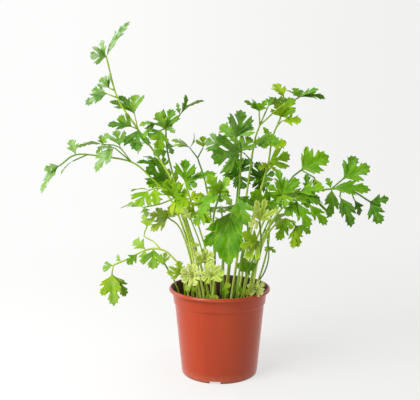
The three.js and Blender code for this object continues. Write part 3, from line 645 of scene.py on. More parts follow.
# Half a leaflet's edge from its foot to its tip, and the veins of that half, as shares of its
# length and of its half width.
THREE_LOBED = {
    "ratio": 1.0,
    "edge": [(0, 0.03), (0.1, 0.06), (0.24, 0.32), (0.4, 0.7), (0.53, 1.0), (0.53, 0.84), (0.7, 1.12),
             (0.68, 0.88), (0.85, 0.94), (0.76, 0.68), (0.6, 0.38), (0.42, 0.13), (0.56, 0.19),
             (0.7, 0.38), (0.83, 0.56), (0.82, 0.38), (0.95, 0.38), (0.92, 0.18)],
    "veins": [[(0.1, 0), (0.28, 0.26), (0.5, 0.58), (0.7, 0.8), (0.82, 0.89)],
              [(0.28, 0.26), (0.4, 0.56), (0.51, 0.9)], [(0.5, 0.58), (0.6, 0.8), (0.69, 1.02)],
              [(0.5, 0), (0.66, 0.22), (0.81, 0.5)], [(0.7, 0), (0.82, 0.16), (0.94, 0.34)]],
}
BROAD = {
    "ratio": 0.62,
    "edge": [(0, 0.04), (0.08, 0.08), (0.2, 0.42), (0.34, 0.9), (0.35, 0.74), (0.5, 1.08), (0.49, 0.84),
             (0.65, 1.04), (0.6, 0.7), (0.54, 0.36), (0.66, 0.46), (0.8, 0.74), (0.79, 0.5), (0.92, 0.52),
             (0.9, 0.26)],
    "veins": [[(0.1, 0), (0.22, 0.36), (0.33, 0.8)], [(0.16, 0), (0.34, 0.46), (0.49, 0.98)],
              [(0.34, 0.46), (0.49, 0.72), (0.63, 0.97)], [(0.46, 0), (0.6, 0.3), (0.79, 0.67)],
              [(0.64, 0), (0.78, 0.24), (0.91, 0.46)]],
}
MIDDLING = {
    "ratio": 0.62,
    "edge": [(0, 0.05), (0.1, 0.08), (0.26, 0.4), (0.45, 0.94), (0.46, 0.76), (0.64, 1.08), (0.6, 0.7),
             (0.5, 0.3), (0.63, 0.4), (0.8, 0.74), (0.78, 0.48), (0.93, 0.48), (0.9, 0.2)],
    "veins": [[(0.12, 0), (0.28, 0.34), (0.44, 0.84)], [(0.28, 0.34), (0.46, 0.66), (0.63, 1.0)],
              [(0.44, 0), (0.6, 0.28), (0.79, 0.67)], [(0.62, 0), (0.78, 0.22), (0.92, 0.43)]],
}
NARROW = {
    "ratio": 0.6,
    "edge": [(0, 0.06), (0.12, 0.1), (0.3, 0.46), (0.56, 1.04), (0.55, 0.68), (0.52, 0.34), (0.66, 0.46),
             (0.83, 0.8), (0.81, 0.46), (0.94, 0.36)],
    "veins": [[(0.14, 0), (0.34, 0.4), (0.55, 0.95)], [(0.46, 0), (0.64, 0.32), (0.82, 0.72)],
              [(0.66, 0), (0.8, 0.18), (0.93, 0.3)]],
}
WHOLE = {
    "ratio": 0.6,
    "edge": [(0, 0.05), (0.04, 0.22), (0.1, 0.56), (0.2, 0.86), (0.22, 0.8), (0.35, 1.02), (0.36, 0.94),
             (0.5, 1.1), (0.5, 0.98), (0.64, 1.06), (0.64, 0.9), (0.76, 0.86), (0.75, 0.68), (0.87, 0.6),
             (0.86, 0.4), (0.95, 0.26)],
    "veins": [[(0.02, 0), (0.08, 0.34), (0.2, 0.8)], [(0.03, 0), (0.15, 0.4), (0.34, 0.95)],
              [(0.04, 0), (0.25, 0.42), (0.49, 1.0)], [(0.24, 0.4), (0.44, 0.66), (0.63, 0.97)],
              [(0.08, 0), (0.4, 0.34), (0.58, 0.56), (0.75, 0.79)], [(0.44, 0), (0.66, 0.26), (0.86, 0.53)],
              [(0.7, 0), (0.84, 0.12), (0.94, 0.21)]],
}


def cut_corners(edge):
    """The edge with each corner cut, so that its teeth are blunt."""
    kept = [edge[0]]
    for start, end in zip(edge, edge[1:]):
        kept.append((1 - CORNER_CUT) * start + CORNER_CUT * end)
        kept.append(CORNER_CUT * start + (1 - CORNER_CUT) * end)
    return [*kept, edge[-1]]


def whole_outline(pattern, half, chance):
    """Both halves of the edge, each jogged a little, as one loop of points."""
    sides = []
    for side in (1, -1):
        wide = chance.uniform(0.98, 1.14)
        slide = chance.uniform(-0.02, 0.02)
        edge = []
        for u, w in pattern["edge"]:
            u += slide * math.sin(math.pi * u) + chance.uniform(-0.008, 0.008)
            edge.append(np.array((u, side * w * wide * half * chance.uniform(0.95, 1.05))))
        sides.append(edge)
    tip = np.array((1.0, 0.0))
    return cut_corners([*sides[0], tip, *reversed(sides[1])])


def inside(points, loop):
    """Which points lie within the loop."""
    x, y = points[:, 0], points[:, 1]
    within = np.zeros(len(points), bool)
    for (x0, y0), (x1, y1) in zip(loop, [*loop[1:], loop[0]]):
        crosses = (y0 > y) != (y1 > y)
        where = x0 + (y - y0) * (x1 - x0) / (y1 - y0 if y1 != y0 else 1e-12)
        within ^= crosses & (x < where)
    return within


def distance_to(points, lines):
    """How far each point is from the nearest of the lines."""
    nearest = np.full(len(points), 1e9)
    for line in lines:
        for start, end in zip(line, line[1:]):
            step = end - start
            share = np.clip(((points - start) @ step) / max(step @ step, 1e-12), 0, 1)
            nearest = np.minimum(nearest, np.linalg.norm(points - start - share[:, None] * step, axis=1))
    return nearest


def flat_leaflet(pattern, seed):
    """A flat leaflet of length 1: its points, faces, and each point's way to vein and edge."""
    chance = random.Random(seed)
    half = pattern["ratio"] / 2
    loop = whole_outline(pattern, half, chance)
    rib = [np.array((u, 0.0)) for u in np.linspace(*RIB_REACH, RIB_POINTS)]
    veins = [rib]
    for vein in pattern["veins"]:
        for side in (1, -1):
            veins.append([np.array((u, side * w * half)) for u, w in vein])
    rows = np.arange(-0.6, 0.6, BLADE_GRID * GRID_ROWS)
    grid = np.array([(u + (number % 2) * BLADE_GRID / 2, y)
                     for number, y in enumerate(rows) for u in np.arange(0, 1, BLADE_GRID)])
    clear = distance_to(grid, [*veins, [*loop, loop[0]]]) > GRID_CLEAR * BLADE_GRID
    grid = grid[inside(grid, loop) & clear]
    corners = [*loop]
    edges = [(number, (number + 1) % len(loop)) for number in range(len(loop))]
    for vein in veins:
        vein = [point for point in vein if inside(np.array([point]), loop)[0]]
        edges += [(len(corners) + step, len(corners) + step + 1) for step in range(len(vein) - 1)]
        corners += vein
    corners += list(grid)
    made = geometry.delaunay_2d_cdt([Vector(point) for point in corners], edges, [], 1, 1e-4)
    points = np.array([tuple(point) for point in made[0]])
    return {
        "points": points,
        "half": half,
        "faces": np.array([face[::-1] for face in made[2]]),
        "vein": distance_to(points, veins),
        "edge": distance_to(points, [[*loop, loop[0]]]),
    }


def pattern_for(length, ratio):
    """The pattern for a leaflet this long and as broad as this share of its length."""
    if ratio >= LOBED_RATIO:
        return THREE_LOBED
    if length > LARGE_BLADE:
        return BROAD
    return MIDDLING if length > SMALL_BLADE else NARROW


def bent_leaflet(flat, foot, tip, face, ratio, depth, chance):
    """The flat leaflet laid from foot to tip with its upper side towards the given way: arched,
    folded along its rib, waved at its edges and swollen between its veins."""
    along = tip - foot
    length = float(np.linalg.norm(along))
    along = along / length
    up = np.array(face, float)
    up -= along * (up @ along)
    up /= np.linalg.norm(up)
    across = np.cross(along, up)
    u = flat["points"][:, 0]
    w = flat["points"][:, 1] / flat["half"]
    sideways = w * ratio * length / 2
    reach = np.abs(sideways)
    arch = 4 * BLADE_ARCH * chance.uniform(*BEND_SPREAD) * length * u * (1 - u)
    fold = depth * BLADE_FOLD * chance.uniform(*BEND_SPREAD) * reach * (1 - FOLD_EASE * np.abs(w))
    swell = BLADE_SWELL * length * (1 - np.exp(-((flat["vein"] / SWELL_REACH) ** 2)))
    turns = u * chance.uniform(*WAVE_COUNTS) + np.sign(w) * WAVE_OFFSET + chance.uniform(0, 6)
    wave = depth * BLADE_WAVE * length * w ** 2 * np.sin(turns)
    lift = arch + fold + swell + wave
    roll = chance.uniform(-BLADE_ROLL, BLADE_ROLL) + chance.uniform(-BLADE_TWIST, BLADE_TWIST) * u
    side = sideways * np.cos(roll) - lift * np.sin(roll)
    rise = sideways * np.sin(roll) + lift * np.cos(roll)
    return foot + np.outer(u * length, along) + np.outer(side, across) + np.outer(rise, up)


flat_leaflets = {}


def chosen_leaflet(pattern, chance):
    """One of the few leaflets drawn for this pattern, drawn when it is first needed."""
    kind = (len(pattern["edge"]), chance.randrange(VARIANTS))
    if kind not in flat_leaflets:
        flat_leaflets[kind] = flat_leaflet(pattern, 100 * kind[0] + kind[1])
    return flat_leaflets[kind]


LEAF_TONE = 0.6
TONE_SPREAD = 0.17
PALE_SPREAD = 0.06
CLOUD_FADE = (0.3, 0.7, -0.14, 0.04)
MARGIN_FADE = (0.0004, 0.004)
DRY_AND_SHEEN_PATCH_FADE = (0.4, 0.6, 0.3, 1.7)
VEIN_FADE = (0.0005, 0.0, 0.0, 0.34)
BLADE_SHINE = 0.1
LEAF_TONES = [(0.0, (0.62, 0.72, 0.03, 1)), (0.25, (0.36, 0.60, 0.008, 1)), (0.55, (0.165, 0.42, 0.003, 1)),
              (0.85, (0.052, 0.215, 0.001, 1)), (1.0, (0.022, 0.125, 0.001, 1))]
UNDER_TONES = [(0.0, (0.62, 0.70, 0.12, 1)), (0.25, (0.44, 0.60, 0.07, 1)), (0.55, (0.28, 0.46, 0.05, 1)),
               (0.85, (0.17, 0.33, 0.035, 1)), (1.0, (0.09, 0.20, 0.02, 1))]
GOLD_TONES = [(0.0, (0.82, 0.87, 0.32, 1)), (0.5, (0.60, 0.75, 0.11, 1)), (1.0, (0.32, 0.54, 0.01, 1))]
# Pale blue-green: the colour of dry leaflets, and a painted sheen of the white room.
LEAF_DRY_AND_SHEEN = (0.40, 0.56, 0.29, 1)
VEIN_GREEN = (0.36, 0.52, 0.08, 1)
GOLD_VEIN = (0.32, 0.52, 0.03, 1)


def blade_finish(name, tones, vein_colour, gloss, glow_share, margin):
    """A leaf skin: its tone as given for each leaflet, clouded, lighter at its margin and veins and in pale
    patches that are partly dry leaf colour and partly painted sheen, with a fine net of veinlets and some
    light through it."""
    finish = new_material(name)
    place = add_node(finish, "TexCoord").outputs["Object"]
    clouds = clouded(finish, place, 70, 4, 0.55)
    depth = calculated(finish, "ADD", mark_on(finish, "tone"), spread(finish, clouds, *CLOUD_FADE))
    edge = spread(finish, mark_on(finish, "edge"), *MARGIN_FADE, -margin, margin)
    depth = calculated(finish, "ADD", depth, edge)
    # Pale patches: dry leaf colour in places, and a painted sheen in place of a real reflection.
    patches = spread(finish, clouded(finish, place, 130, 2), *DRY_AND_SHEEN_PATCH_FADE)
    pale = calculated(finish, "MULTIPLY", mark_on(finish, "pale"), patches)
    colour = blended(finish, pale, toned(finish, depth, tones), LEAF_DRY_AND_SHEEN)
    vein = spread(finish, mark_on(finish, "vein"), *VEIN_FADE)
    colour = blended(finish, vein, colour, vein_colour)
    net = add_node(finish, "TexVoronoi", Vector=place, Scale=620, feature="DISTANCE_TO_EDGE")
    bump = relief(finish, spread(finish, net.outputs["Distance"], 0.0, 0.16), 0.1, 0.0002)
    rough = spread(finish, clouds, 0.3, 0.7, gloss - 0.06, gloss + 0.08)
    skin = add_node(finish, "BsdfPrincipled", Base_Color=colour, Roughness=rough, Normal=bump,
                    Specular_IOR_Level=BLADE_SHINE)
    glow = add_node(finish, "BsdfTranslucent", Color=colour)
    add_node(finish, "OutputMaterial", Surface=mixed_shader(finish, glow_share, skin, glow))
    return finish


green_upper = blade_finish("leaf_upper_side", LEAF_TONES, VEIN_GREEN, 0.4, 0.3, 0.03)
green_under = blade_finish("leaf_under_side", UNDER_TONES, VEIN_GREEN, 0.6, 0.3, 0.03)
gold_upper = blade_finish("young_leaf_upper_side", GOLD_TONES, GOLD_VEIN, 0.5, 0.42, 0.22)
gold_under = blade_finish("young_leaf_under_side", GOLD_TONES, GOLD_VEIN, 0.6, 0.42, 0.22)

# The ways that the upper side of a leaflet faces; FRONT is the usual one.
FRONT = (0, -1, 0.35)
FRONT_LEFT = (-0.6, -0.8, 0.3)
FRONT_RIGHT = (0.6, -0.8, 0.3)
TILTED = (0, -0.55, 0.85)
UP = (0, 0.1, 1)
LEFT = (-1, -0.25, 0.2)
RIGHT = (1, -0.25, 0.2)
BACK = (0, 1, 0.4)


def mesh_piece(name, points, faces, shares, marks, finishes):
    """A mesh object with its grain coordinates and the marks that its finishes read."""
    mesh = bpy.data.meshes.new(name)
    mesh.from_pydata([tuple(point) for point in points], [], [tuple(face) for face in faces])
    shares = np.array(shares, np.float32)
    corners = np.empty(len(mesh.loops), np.int32)
    mesh.loops.foreach_get("vertex_index", corners)
    mesh.uv_layers.new(name="grain").data.foreach_set("uv", shares[corners].ravel())
    for mark, values in marks.items():
        made = mesh.attributes.new(mark, "FLOAT", "POINT")
        made.data.foreach_set("value", np.array(values, np.float32))
    for finish in finishes:
        mesh.materials.append(finish)
    piece = bpy.data.objects.new(name, mesh)
    bpy.context.scene.collection.objects.link(piece)
    return piece


def frond_stalks(spec, tone, finishes):
    """The main stalk and its branches as one mesh, and where each sprig of leaflets forks."""
    x, y = spec["root"]
    collar = np.array((x / 1000, y / 1000, COLLAR_HEIGHT))
    line, marks = smooth_line([collar, *map(seen, spec["stem"])])
    base = collar.copy()
    base[2] = ROOT_HEIGHT
    rooted = np.vstack([[base, (base + collar) / 2], line])
    parts = [stalk_mesh(rooted, spec["girth"] / 1000, STALK_TIP_RADIUS, from_soil=True)]
    forks = []
    for sprig in spec["sprigs"]:
        fork = place_on(line, marks, sprig["at"])
        if "stalk" in sprig:
            branch, _ = smooth_line([fork, *map(seen, sprig["stalk"])])
            parts.append(stalk_mesh(branch, BRANCH_RADIUS, BRANCH_RADIUS * BRANCH_TAPER))
            fork = branch[-1]
        forks.append(fork)
    points, faces, shares = [], [], []
    for part_points, part_faces, part_shares in parts:
        if points:
            first, rest = BRANCH_SHARES
            part_shares = [(first + rest * length, side) for length, side in part_shares]
        faces += [tuple(corner + len(points) for corner in face) for face in part_faces]
        points += list(part_points)
        shares += part_shares
    stalks = mesh_piece("stalks", points, faces, shares, {"tone": [tone] * len(points)}, finishes)
    stalks.data.polygons.foreach_set("material_index", [finishes.index(green_stalk)] * len(faces))
    return stalks, forks


def leaflet_between(fork, first, second):
    """The tip of a small leaflet in the gap between two neighbours, where they leave one."""
    lengths = [float(np.linalg.norm(tip - fork)) for tip in (first, second)]
    way = (first - fork) / lengths[0] + (second - fork) / lengths[1]
    openness = float(np.linalg.norm(way))
    if not WIDE_GAP < openness < NARROW_GAP:
        return None
    return fork + way / openness * BETWEEN_LENGTH * min(lengths) + BETWEEN_BEHIND


def leaflets_of(spec, forks):
    """The foot, tip, width, facing and sprig of each leaflet; the small ones between come last."""
    given, between = [], []
    for sprig, fork in zip(spec["sprigs"], forks):
        usual = sprig.get("face", FRONT)
        own = [(fork, seen(tip[:3]), tip[3], tip[4] if len(tip) > 4 else usual, sprig)
               for tip in sprig["tips"]]
        given += own
        for first, second in itertools.combinations([one for one in own if one[2] >= NARROWEST_PAIR], 2):
            tip = leaflet_between(fork, first[1], second[1])
            if tip is not None:
                between.append((fork, tip, BETWEEN_RATIO, first[3], sprig))
    return [*given, *between]


def frond_blades(spec, forks, tone, pale, finishes, chance):
    """All the leaflets of one leaf, each bent into place and given its thickness."""
    points, faces, shares = [], [], []
    marks = {"tone": [], "pale": [], "vein": [], "edge": []}
    for fork, tip, ratio, face, sprig in leaflets_of(spec, forks):
        length = float(np.linalg.norm(tip - fork))
        pattern = WHOLE if sprig.get("whole") else pattern_for(length, ratio)
        flat = chosen_leaflet(pattern, chance)
        depth = sprig.get("depth", spec.get("depth", 1))
        laid = bent_leaflet(flat, fork, tip, face, ratio, depth, chance)
        faces.append(flat["faces"] + len(points))
        points.extend(laid)
        shares.extend(flat["points"])
        count = len(laid)
        own_tone = sprig.get("tone", tone) + chance.uniform(-TONE_SPREAD, TONE_SPREAD)
        own_pale = sprig.get("pale", pale) + chance.uniform(-PALE_SPREAD, PALE_SPREAD)
        marks["tone"] += [own_tone] * count
        marks["pale"] += [max(0.0, own_pale)] * count
        marks["vein"] += list(flat["vein"] * length)
        marks["edge"] += list(flat["edge"] * length)
    blades = mesh_piece("blades", points, np.vstack(faces), shares, marks, finishes)
    skin = blades.modifiers.new("thickness", "SOLIDIFY")
    skin.thickness = BLADE_THICKNESS
    skin.offset = 0
    skin.material_offset = 1
    bpy.context.view_layer.objects.active = blades
    bpy.ops.object.modifier_apply(modifier=skin.name)
    return blades


def grow(spec, finishes):
    """One whole leaf as one piece, with its stalks and leaflets joined. Its root and girth are in
    millimetres at the compost, and its stem and sprigs hold points for `seen`. A sprig forks from
    the stem at a number of the stem's points, with or without a stalk of its own. Each leaflet has
    the point of its tip, its width for its length and, if it is not the sprig's, its facing."""
    chance = random.Random(spec["name"])
    tone = spec.get("tone", LEAF_TONE)
    stalk_tone = spec.get("stalk_tone", tone) + chance.uniform(*STALK_TONE_SPREAD)
    # Stalks rooted further back are toned darker: painted shade.
    stalk_tone += STALK_SHADE_TOWARD_BACK * spec["root"][1]
    stalks, forks = frond_stalks(spec, stalk_tone, finishes)
    blades = frond_blades(spec, forks, tone, spec.get("pale", 0), finishes, chance)
    leaf = joined([blades, stalks], f"{spec['name']}_leaf")
    bpy.ops.object.shade_smooth()
    return leaf


green_finishes = [green_upper, green_under, green_stalk]
gold_finishes = [gold_upper, gold_under, green_stalk]


# Leaves on the left
# Long leaves that rise and lean out to the left; the tallest has dry, paler leaflets at its top.
left_leaves = [
    dict(name="tall_left", root=(-19, 6), girth=1.8, tone=0.68, pale=0.1, stalk_tone=-0.2,
         stem=[(-30, 8, 145), (-43, 9, 190), (-62, 10, 252), (-103, 14, 313), (-128, 19, 352),
               (-141, 20, 402)],
         sprigs=[
             dict(at=6, face=FRONT_LEFT, pale=0.6,
                  tips=[(-110, 34, 446, 0.24), (-146, 26, 423, 0.5), (-162, 12, 403, 1.1, FRONT)]),
             dict(at=5, stalk=[(-141, 16, 357)], face=FRONT_LEFT, pale=0.6,
                  tips=[(-169, 8, 343, 0.5), (-160, 26, 361, 0.7)]),
             dict(at=5.2, stalk=[(-138, 17, 364)], face=FRONT_LEFT, pale=0.5,
                  tips=[(-149, 20, 377, 0.9), (-136, 24, 382, 0.6)]),
             dict(at=4, stalk=[(-107, 30, 332)], face=TILTED,
                  tips=[(-138, 42, 348, 0.5), (-105, 44, 356, 0.95), (-127, 46, 355, 0.35)]),
             dict(at=4, stalk=[(-110, 8, 316)], tips=[(-142, 2, 318, 0.45), (-127, 4, 330, 0.9)]),
             dict(at=4, tips=[(-105, -8, 285, 0.9)]),
             dict(at=3.7, stalk=[(-96, 26, 296)], face=TILTED,
                  tips=[(-132, 30, 296, 0.3), (-103, 32, 281, 0.7)]),
         ]),
    dict(name="second_left", root=(-11, -6), girth=1.8, tone=0.68, pale=0.1,
         stem=[(-26, -8, 145), (-40, -8, 190), (-57, -6, 248), (-66, -4, 285), (-68, -2, 314)],
         sprigs=[
             dict(at=5, tips=[(-80, -8, 334, 0.8), (-58, 2, 338, 0.9), (-57, -10, 308, 0.8, FRONT_RIGHT)]),
             dict(at=5, stalk=[(-74, -6, 312)], tips=[(-90, -14, 302, 0.9), (-78, -20, 285, 0.8)]),
             dict(at=5, stalk=[(-80, -2, 320)], face=TILTED,
                  tips=[(-101, -8, 317, 0.75), (-96, -12, 301, 0.5)]),
             dict(at=5, stalk=[(-58, 2, 321), (-50, 6, 331)], face=RIGHT,
                  tips=[(-53, 4, 346, 0.4, FRONT), (-43, 10, 356, 0.5), (-18, 12, 348, 0.4, UP)]),
             dict(at=4, tips=[(-84, -16, 281, 0.8)]),
             dict(at=4.5, pale=0.6, tips=[(-59, 2, 282, 0.5)]),
         ]),
    dict(name="far_left", root=(-24, 15), girth=1.4, tone=0.62, pale=0.45, stalk_tone=-0.2,
         stem=[(-38, 20, 160), (-60, 26, 220), (-88, 31, 253), (-112, 33, 272), (-150, 31, 279),
               (-182, 28, 281), (-203, 22, 267)],
         sprigs=[
             dict(at=7, face=FRONT_LEFT, tips=[(-223, 14, 261, 0.6), (-227, 12, 231, 0.5)]),
             dict(at=6, tips=[(-188, 34, 300, 0.8)]),
             dict(at=5.5, stalk=[(-186, 18, 273)], face=LEFT, tips=[(-201, 10, 256, 0.5)]),
             dict(at=4, stalk=[(-133, 22, 290)], tips=[(-157, 12, 258, 0.55), (-151, 16, 291, 0.4)]),
             dict(at=4, stalk=[(-128, 42, 291), (-148, 46, 294)], face=UP, pale=0.5,
                  tips=[(-177, 40, 291, 0.4), (-181, 56, 289, 0.4), (-150, 42, 306, 0.8, FRONT),
                        (-140, 38, 308, 0.7, FRONT), (-156, 40, 282, 0.5, FRONT)]),
             dict(at=4, stalk=[(-126, 38, 291)], tips=[(-131, 42, 312, 1)]),
         ]),
    dict(name="dark_left", root=(-27, 29), girth=1.4, tone=0.68,
         stem=[(-38, 42, 160), (-50, 48, 215), (-66, 48, 250)],
         sprigs=[
             dict(at=3, tips=[(-94, 38, 266, 0.9), (-94, 36, 244, 0.7)]),
             dict(at=3, stalk=[(-72, 60, 264)], face=UP,
                  tips=[(-106, 68, 271, 0.35, TILTED), (-97, 86, 278, 0.35), (-70, 62, 278, 0.9, FRONT)]),
         ]),
    dict(name="low_arch_left", root=(-27, -16), girth=1.4, tone=0.5,
         stem=[(-33, -20, 140), (-44, -24, 190), (-58, -26, 226), (-76, -26, 239), (-90, -26, 236)],
         sprigs=[
             dict(at=5, tips=[(-104, -38, 214, 1), (-113, -14, 234, 0.4, UP)]),
             dict(at=4.5, tips=[(-80, -40, 217, 0.8)]),
             dict(at=3, stalk=[(-74, -22, 219), (-97, -22, 214)], face=TILTED, pale=0.5,
                  tips=[(-127, -18, 212, 0.35), (-117, -8, 218, 0.4), (-92, -32, 202, 0.8, FRONT)]),
             # This sprig's lighter tone is partly its own lime colour, partly painted light against the
             # shade on it.
             dict(at=3, tone=0.33,
                  tips=[(-38, -42, 234, 0.9), (-48, -40, 206, 0.9), (-68, -38, 251, 0.8),
                        (-52, -46, 248, 0.7)]),
         ]),
    dict(name="drooping_left", root=(-36, -26), girth=1.4, tone=0.4, pale=0.12,
         stem=[(-48, -34, 130), (-62, -38, 151), (-76, -40, 160), (-95, -42, 159), (-116, -44, 148),
               (-137, -46, 139)],
         sprigs=[
             dict(at=6, stalk=[(-139, -48, 127)],
                  tips=[(-153, -52, 98, 0.5), (-137, -64, 84, 0.5), (-121, -44, 97, 0.5)]),
             dict(at=6, tips=[(-151, -42, 134, 0.9)]),
             dict(at=5.5, face=LEFT, tips=[(-131, -36, 153, 0.7)]),
             dict(at=4.5, tips=[(-119, -50, 140, 0.8)]),
             dict(at=4, tips=[(-110, -30, 171, 0.8), (-98, -50, 140, 0.8)]),
             dict(at=3.5, tips=[(-86, -58, 133, 1)]),
             dict(at=3, stalk=[(-85, -30, 170), (-97, -26, 177), (-93, -22, 189)], pale=0.2,
                  tips=[(-97, -18, 205, 0.7), (-83, -24, 201, 0.6)]),
         ]),
    # Its light tone is partly its own lime colour, partly painted light against the shade of the leaves
    # above.
    dict(name="leaning_left", root=(-34, 4), girth=1.2, tone=0.26, pale=0.3,
         stem=[(-36, -4, 140), (-50, -10, 186), (-66, -12, 201)],
         sprigs=[
             dict(at=3,
                  tips=[(-90, -18, 205, 0.5), (-89, -24, 183, 0.5), (-58, -22, 215, 0.8),
                        (-82, -28, 213, 0.5)]),
             dict(at=1.5, tone=0.2, tips=[(-25, -18, 166, 0.45)]),
         ]),
    dict(name="wisp_left", root=(-47, -14), girth=1.0, tone=0.25, stem=[(-58, -20, 118), (-72, -24, 143)],
         sprigs=[dict(at=2, tips=[(-83, -26, 147, 0.8), (-69, -28, 156, 0.9)])]),
]
for spec in left_leaves:
    leaf = grow(spec, green_finishes)
    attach(leaf, "root")
    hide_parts(f"frond_{spec['name']}")


# Leaves in the middle
# Upright leaves in the heart of the plant, with the broadest leaflets hanging at the front.
middle_leaves = [
    dict(name="centre_small", root=(-8, -22), girth=1.3, tone=0.42,
         stem=[(-16, -28, 150), (-30, -42, 200), (-44, -48, 246)],
         sprigs=[
             dict(at=3, tone=0.62,
                  tips=[(-43, -52, 276, 0.9), (-28, -56, 241, 0.9), (-3, -42, 257, 0.5, TILTED)]),
             dict(at=2.2, stalk=[(-38, -52, 226)], tips=[(-54, -62, 214, 0.9), (-23, -60, 231, 0.9)]),
             dict(at=1.8, stalk=[(-22, -50, 214)],
                  tips=[(-31, -54, 190, 0.9), (-12, -52, 194, 0.8), (-35, -56, 231, 0.9),
                        (-7, -50, 235, 0.6)]),
             dict(at=1.8, stalk=[(-33, -44, 202)], tone=0.4, tips=[(-46, -46, 224, 0.6)]),
         ]),
    dict(name="slender_back", root=(-5, 30), girth=1, tone=0.5, pale=0.5,
         stem=[(-8, 44, 170), (-17, 50, 240), (-28, 54, 277)],
         sprigs=[
             dict(at=3, stalk=[(-38, 56, 290)], face=TILTED,
                  tips=[(-62, 48, 299, 0.4), (-61, 64, 291, 0.4), (-33, 60, 309, 0.4, RIGHT)]),
             dict(at=3, stalk=[(-21, 52, 290)], pale=0, tone=0.3, tips=[(-22, 48, 305, 1.2)]),
         ]),
    dict(name="centre_tall", root=(7, -14), girth=1.8, tone=0.7, pale=0.14,
         stem=[(14, -18, 160), (24, -22, 225), (27, -24, 285)],
         sprigs=[
             dict(at=3, stalk=[(21, -20, 303)],
                  tips=[(26, -22, 338, 0.95), (0, -16, 318, 0.8), (43, -16, 315, 1)]),
             dict(at=3,
                  tips=[(-12, -42, 278, 1.1), (40, -8, 268, 0.6, TILTED), (39, -14, 303, 1),
                        (12, -20, 304, 0.5)]),
             dict(at=3, stalk=[(4, -14, 293)], tips=[(-19, -8, 297, 1)]),
         ]),
    dict(name="front_big", root=(5, -32), girth=1.5, tone=0.6,
         stem=[(5, -48, 150), (9, -58, 186), (13, -64, 207)],
         sprigs=[
             dict(at=3, whole=True, tone=0.66, pale=0.04, depth=1.9, tips=[(13, -92, 138, 0.54)]),
             dict(at=3, tone=0.8, tips=[(-19, -66, 163, 0.45)]),
             dict(at=2.4, tone=0.05, pale=0.3, tips=[(-14, -70, 186, 0.8)]),
             dict(at=0.4, tone=0.35, tips=[(15, -46, 113, 0.8), (11, -50, 101, 0.7)]),
         ]),
    dict(name="front_left", root=(-7, -36), girth=1.4, tone=0.5, pale=0.06,
         stem=[(-6, -40, 150), (-8, -56, 200), (1, -74, 233)],
         sprigs=[
             dict(at=3,
                  tips=[(-24, -96, 202, 0.65, FRONT_LEFT), (-13, -82, 257, 0.8), (15, -80, 217, 0.7),
                        (13, -86, 252, 0.7)]),
         ]),
    dict(name="front_right", root=(19, -43), girth=1.3, tone=0.58,
         stem=[(28, -68, 150), (36, -88, 188), (22, -97, 228)],
         sprigs=[
             dict(at=3, tone=0.88, tips=[(35, -110, 190, 0.72), (44, -100, 216, 0.6)]),
         ]),
    dict(name="dark_back", root=(10, 24), girth=1.4, tone=0.88,
         stem=[(16, 40, 170), (22, 54, 230), (24, 60, 256)],
         sprigs=[
             dict(at=3,
                  tips=[(4, 54, 267, 1.05), (36, 66, 276, 0.9), (31, 46, 237, 1), (12, 58, 250, 0.9),
                        (16, 60, 287, 0.7)]),
         ]),
    dict(name="dark_back_right", root=(20, 34), girth=1.4, tone=0.88,
         stem=[(34, 56, 170), (48, 68, 225), (52, 74, 252)],
         sprigs=[
             dict(at=3,
                  tips=[(46, 68, 273, 0.9), (70, 68, 258, 0.9), (46, 66, 232, 0.9), (36, 64, 249, 0.9),
                        (62, 66, 240, 0.8)]),
         ]),
]
for spec in middle_leaves:
    leaf = grow(spec, green_finishes)
    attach(leaf, "root")
    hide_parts(f"frond_{spec['name']}")


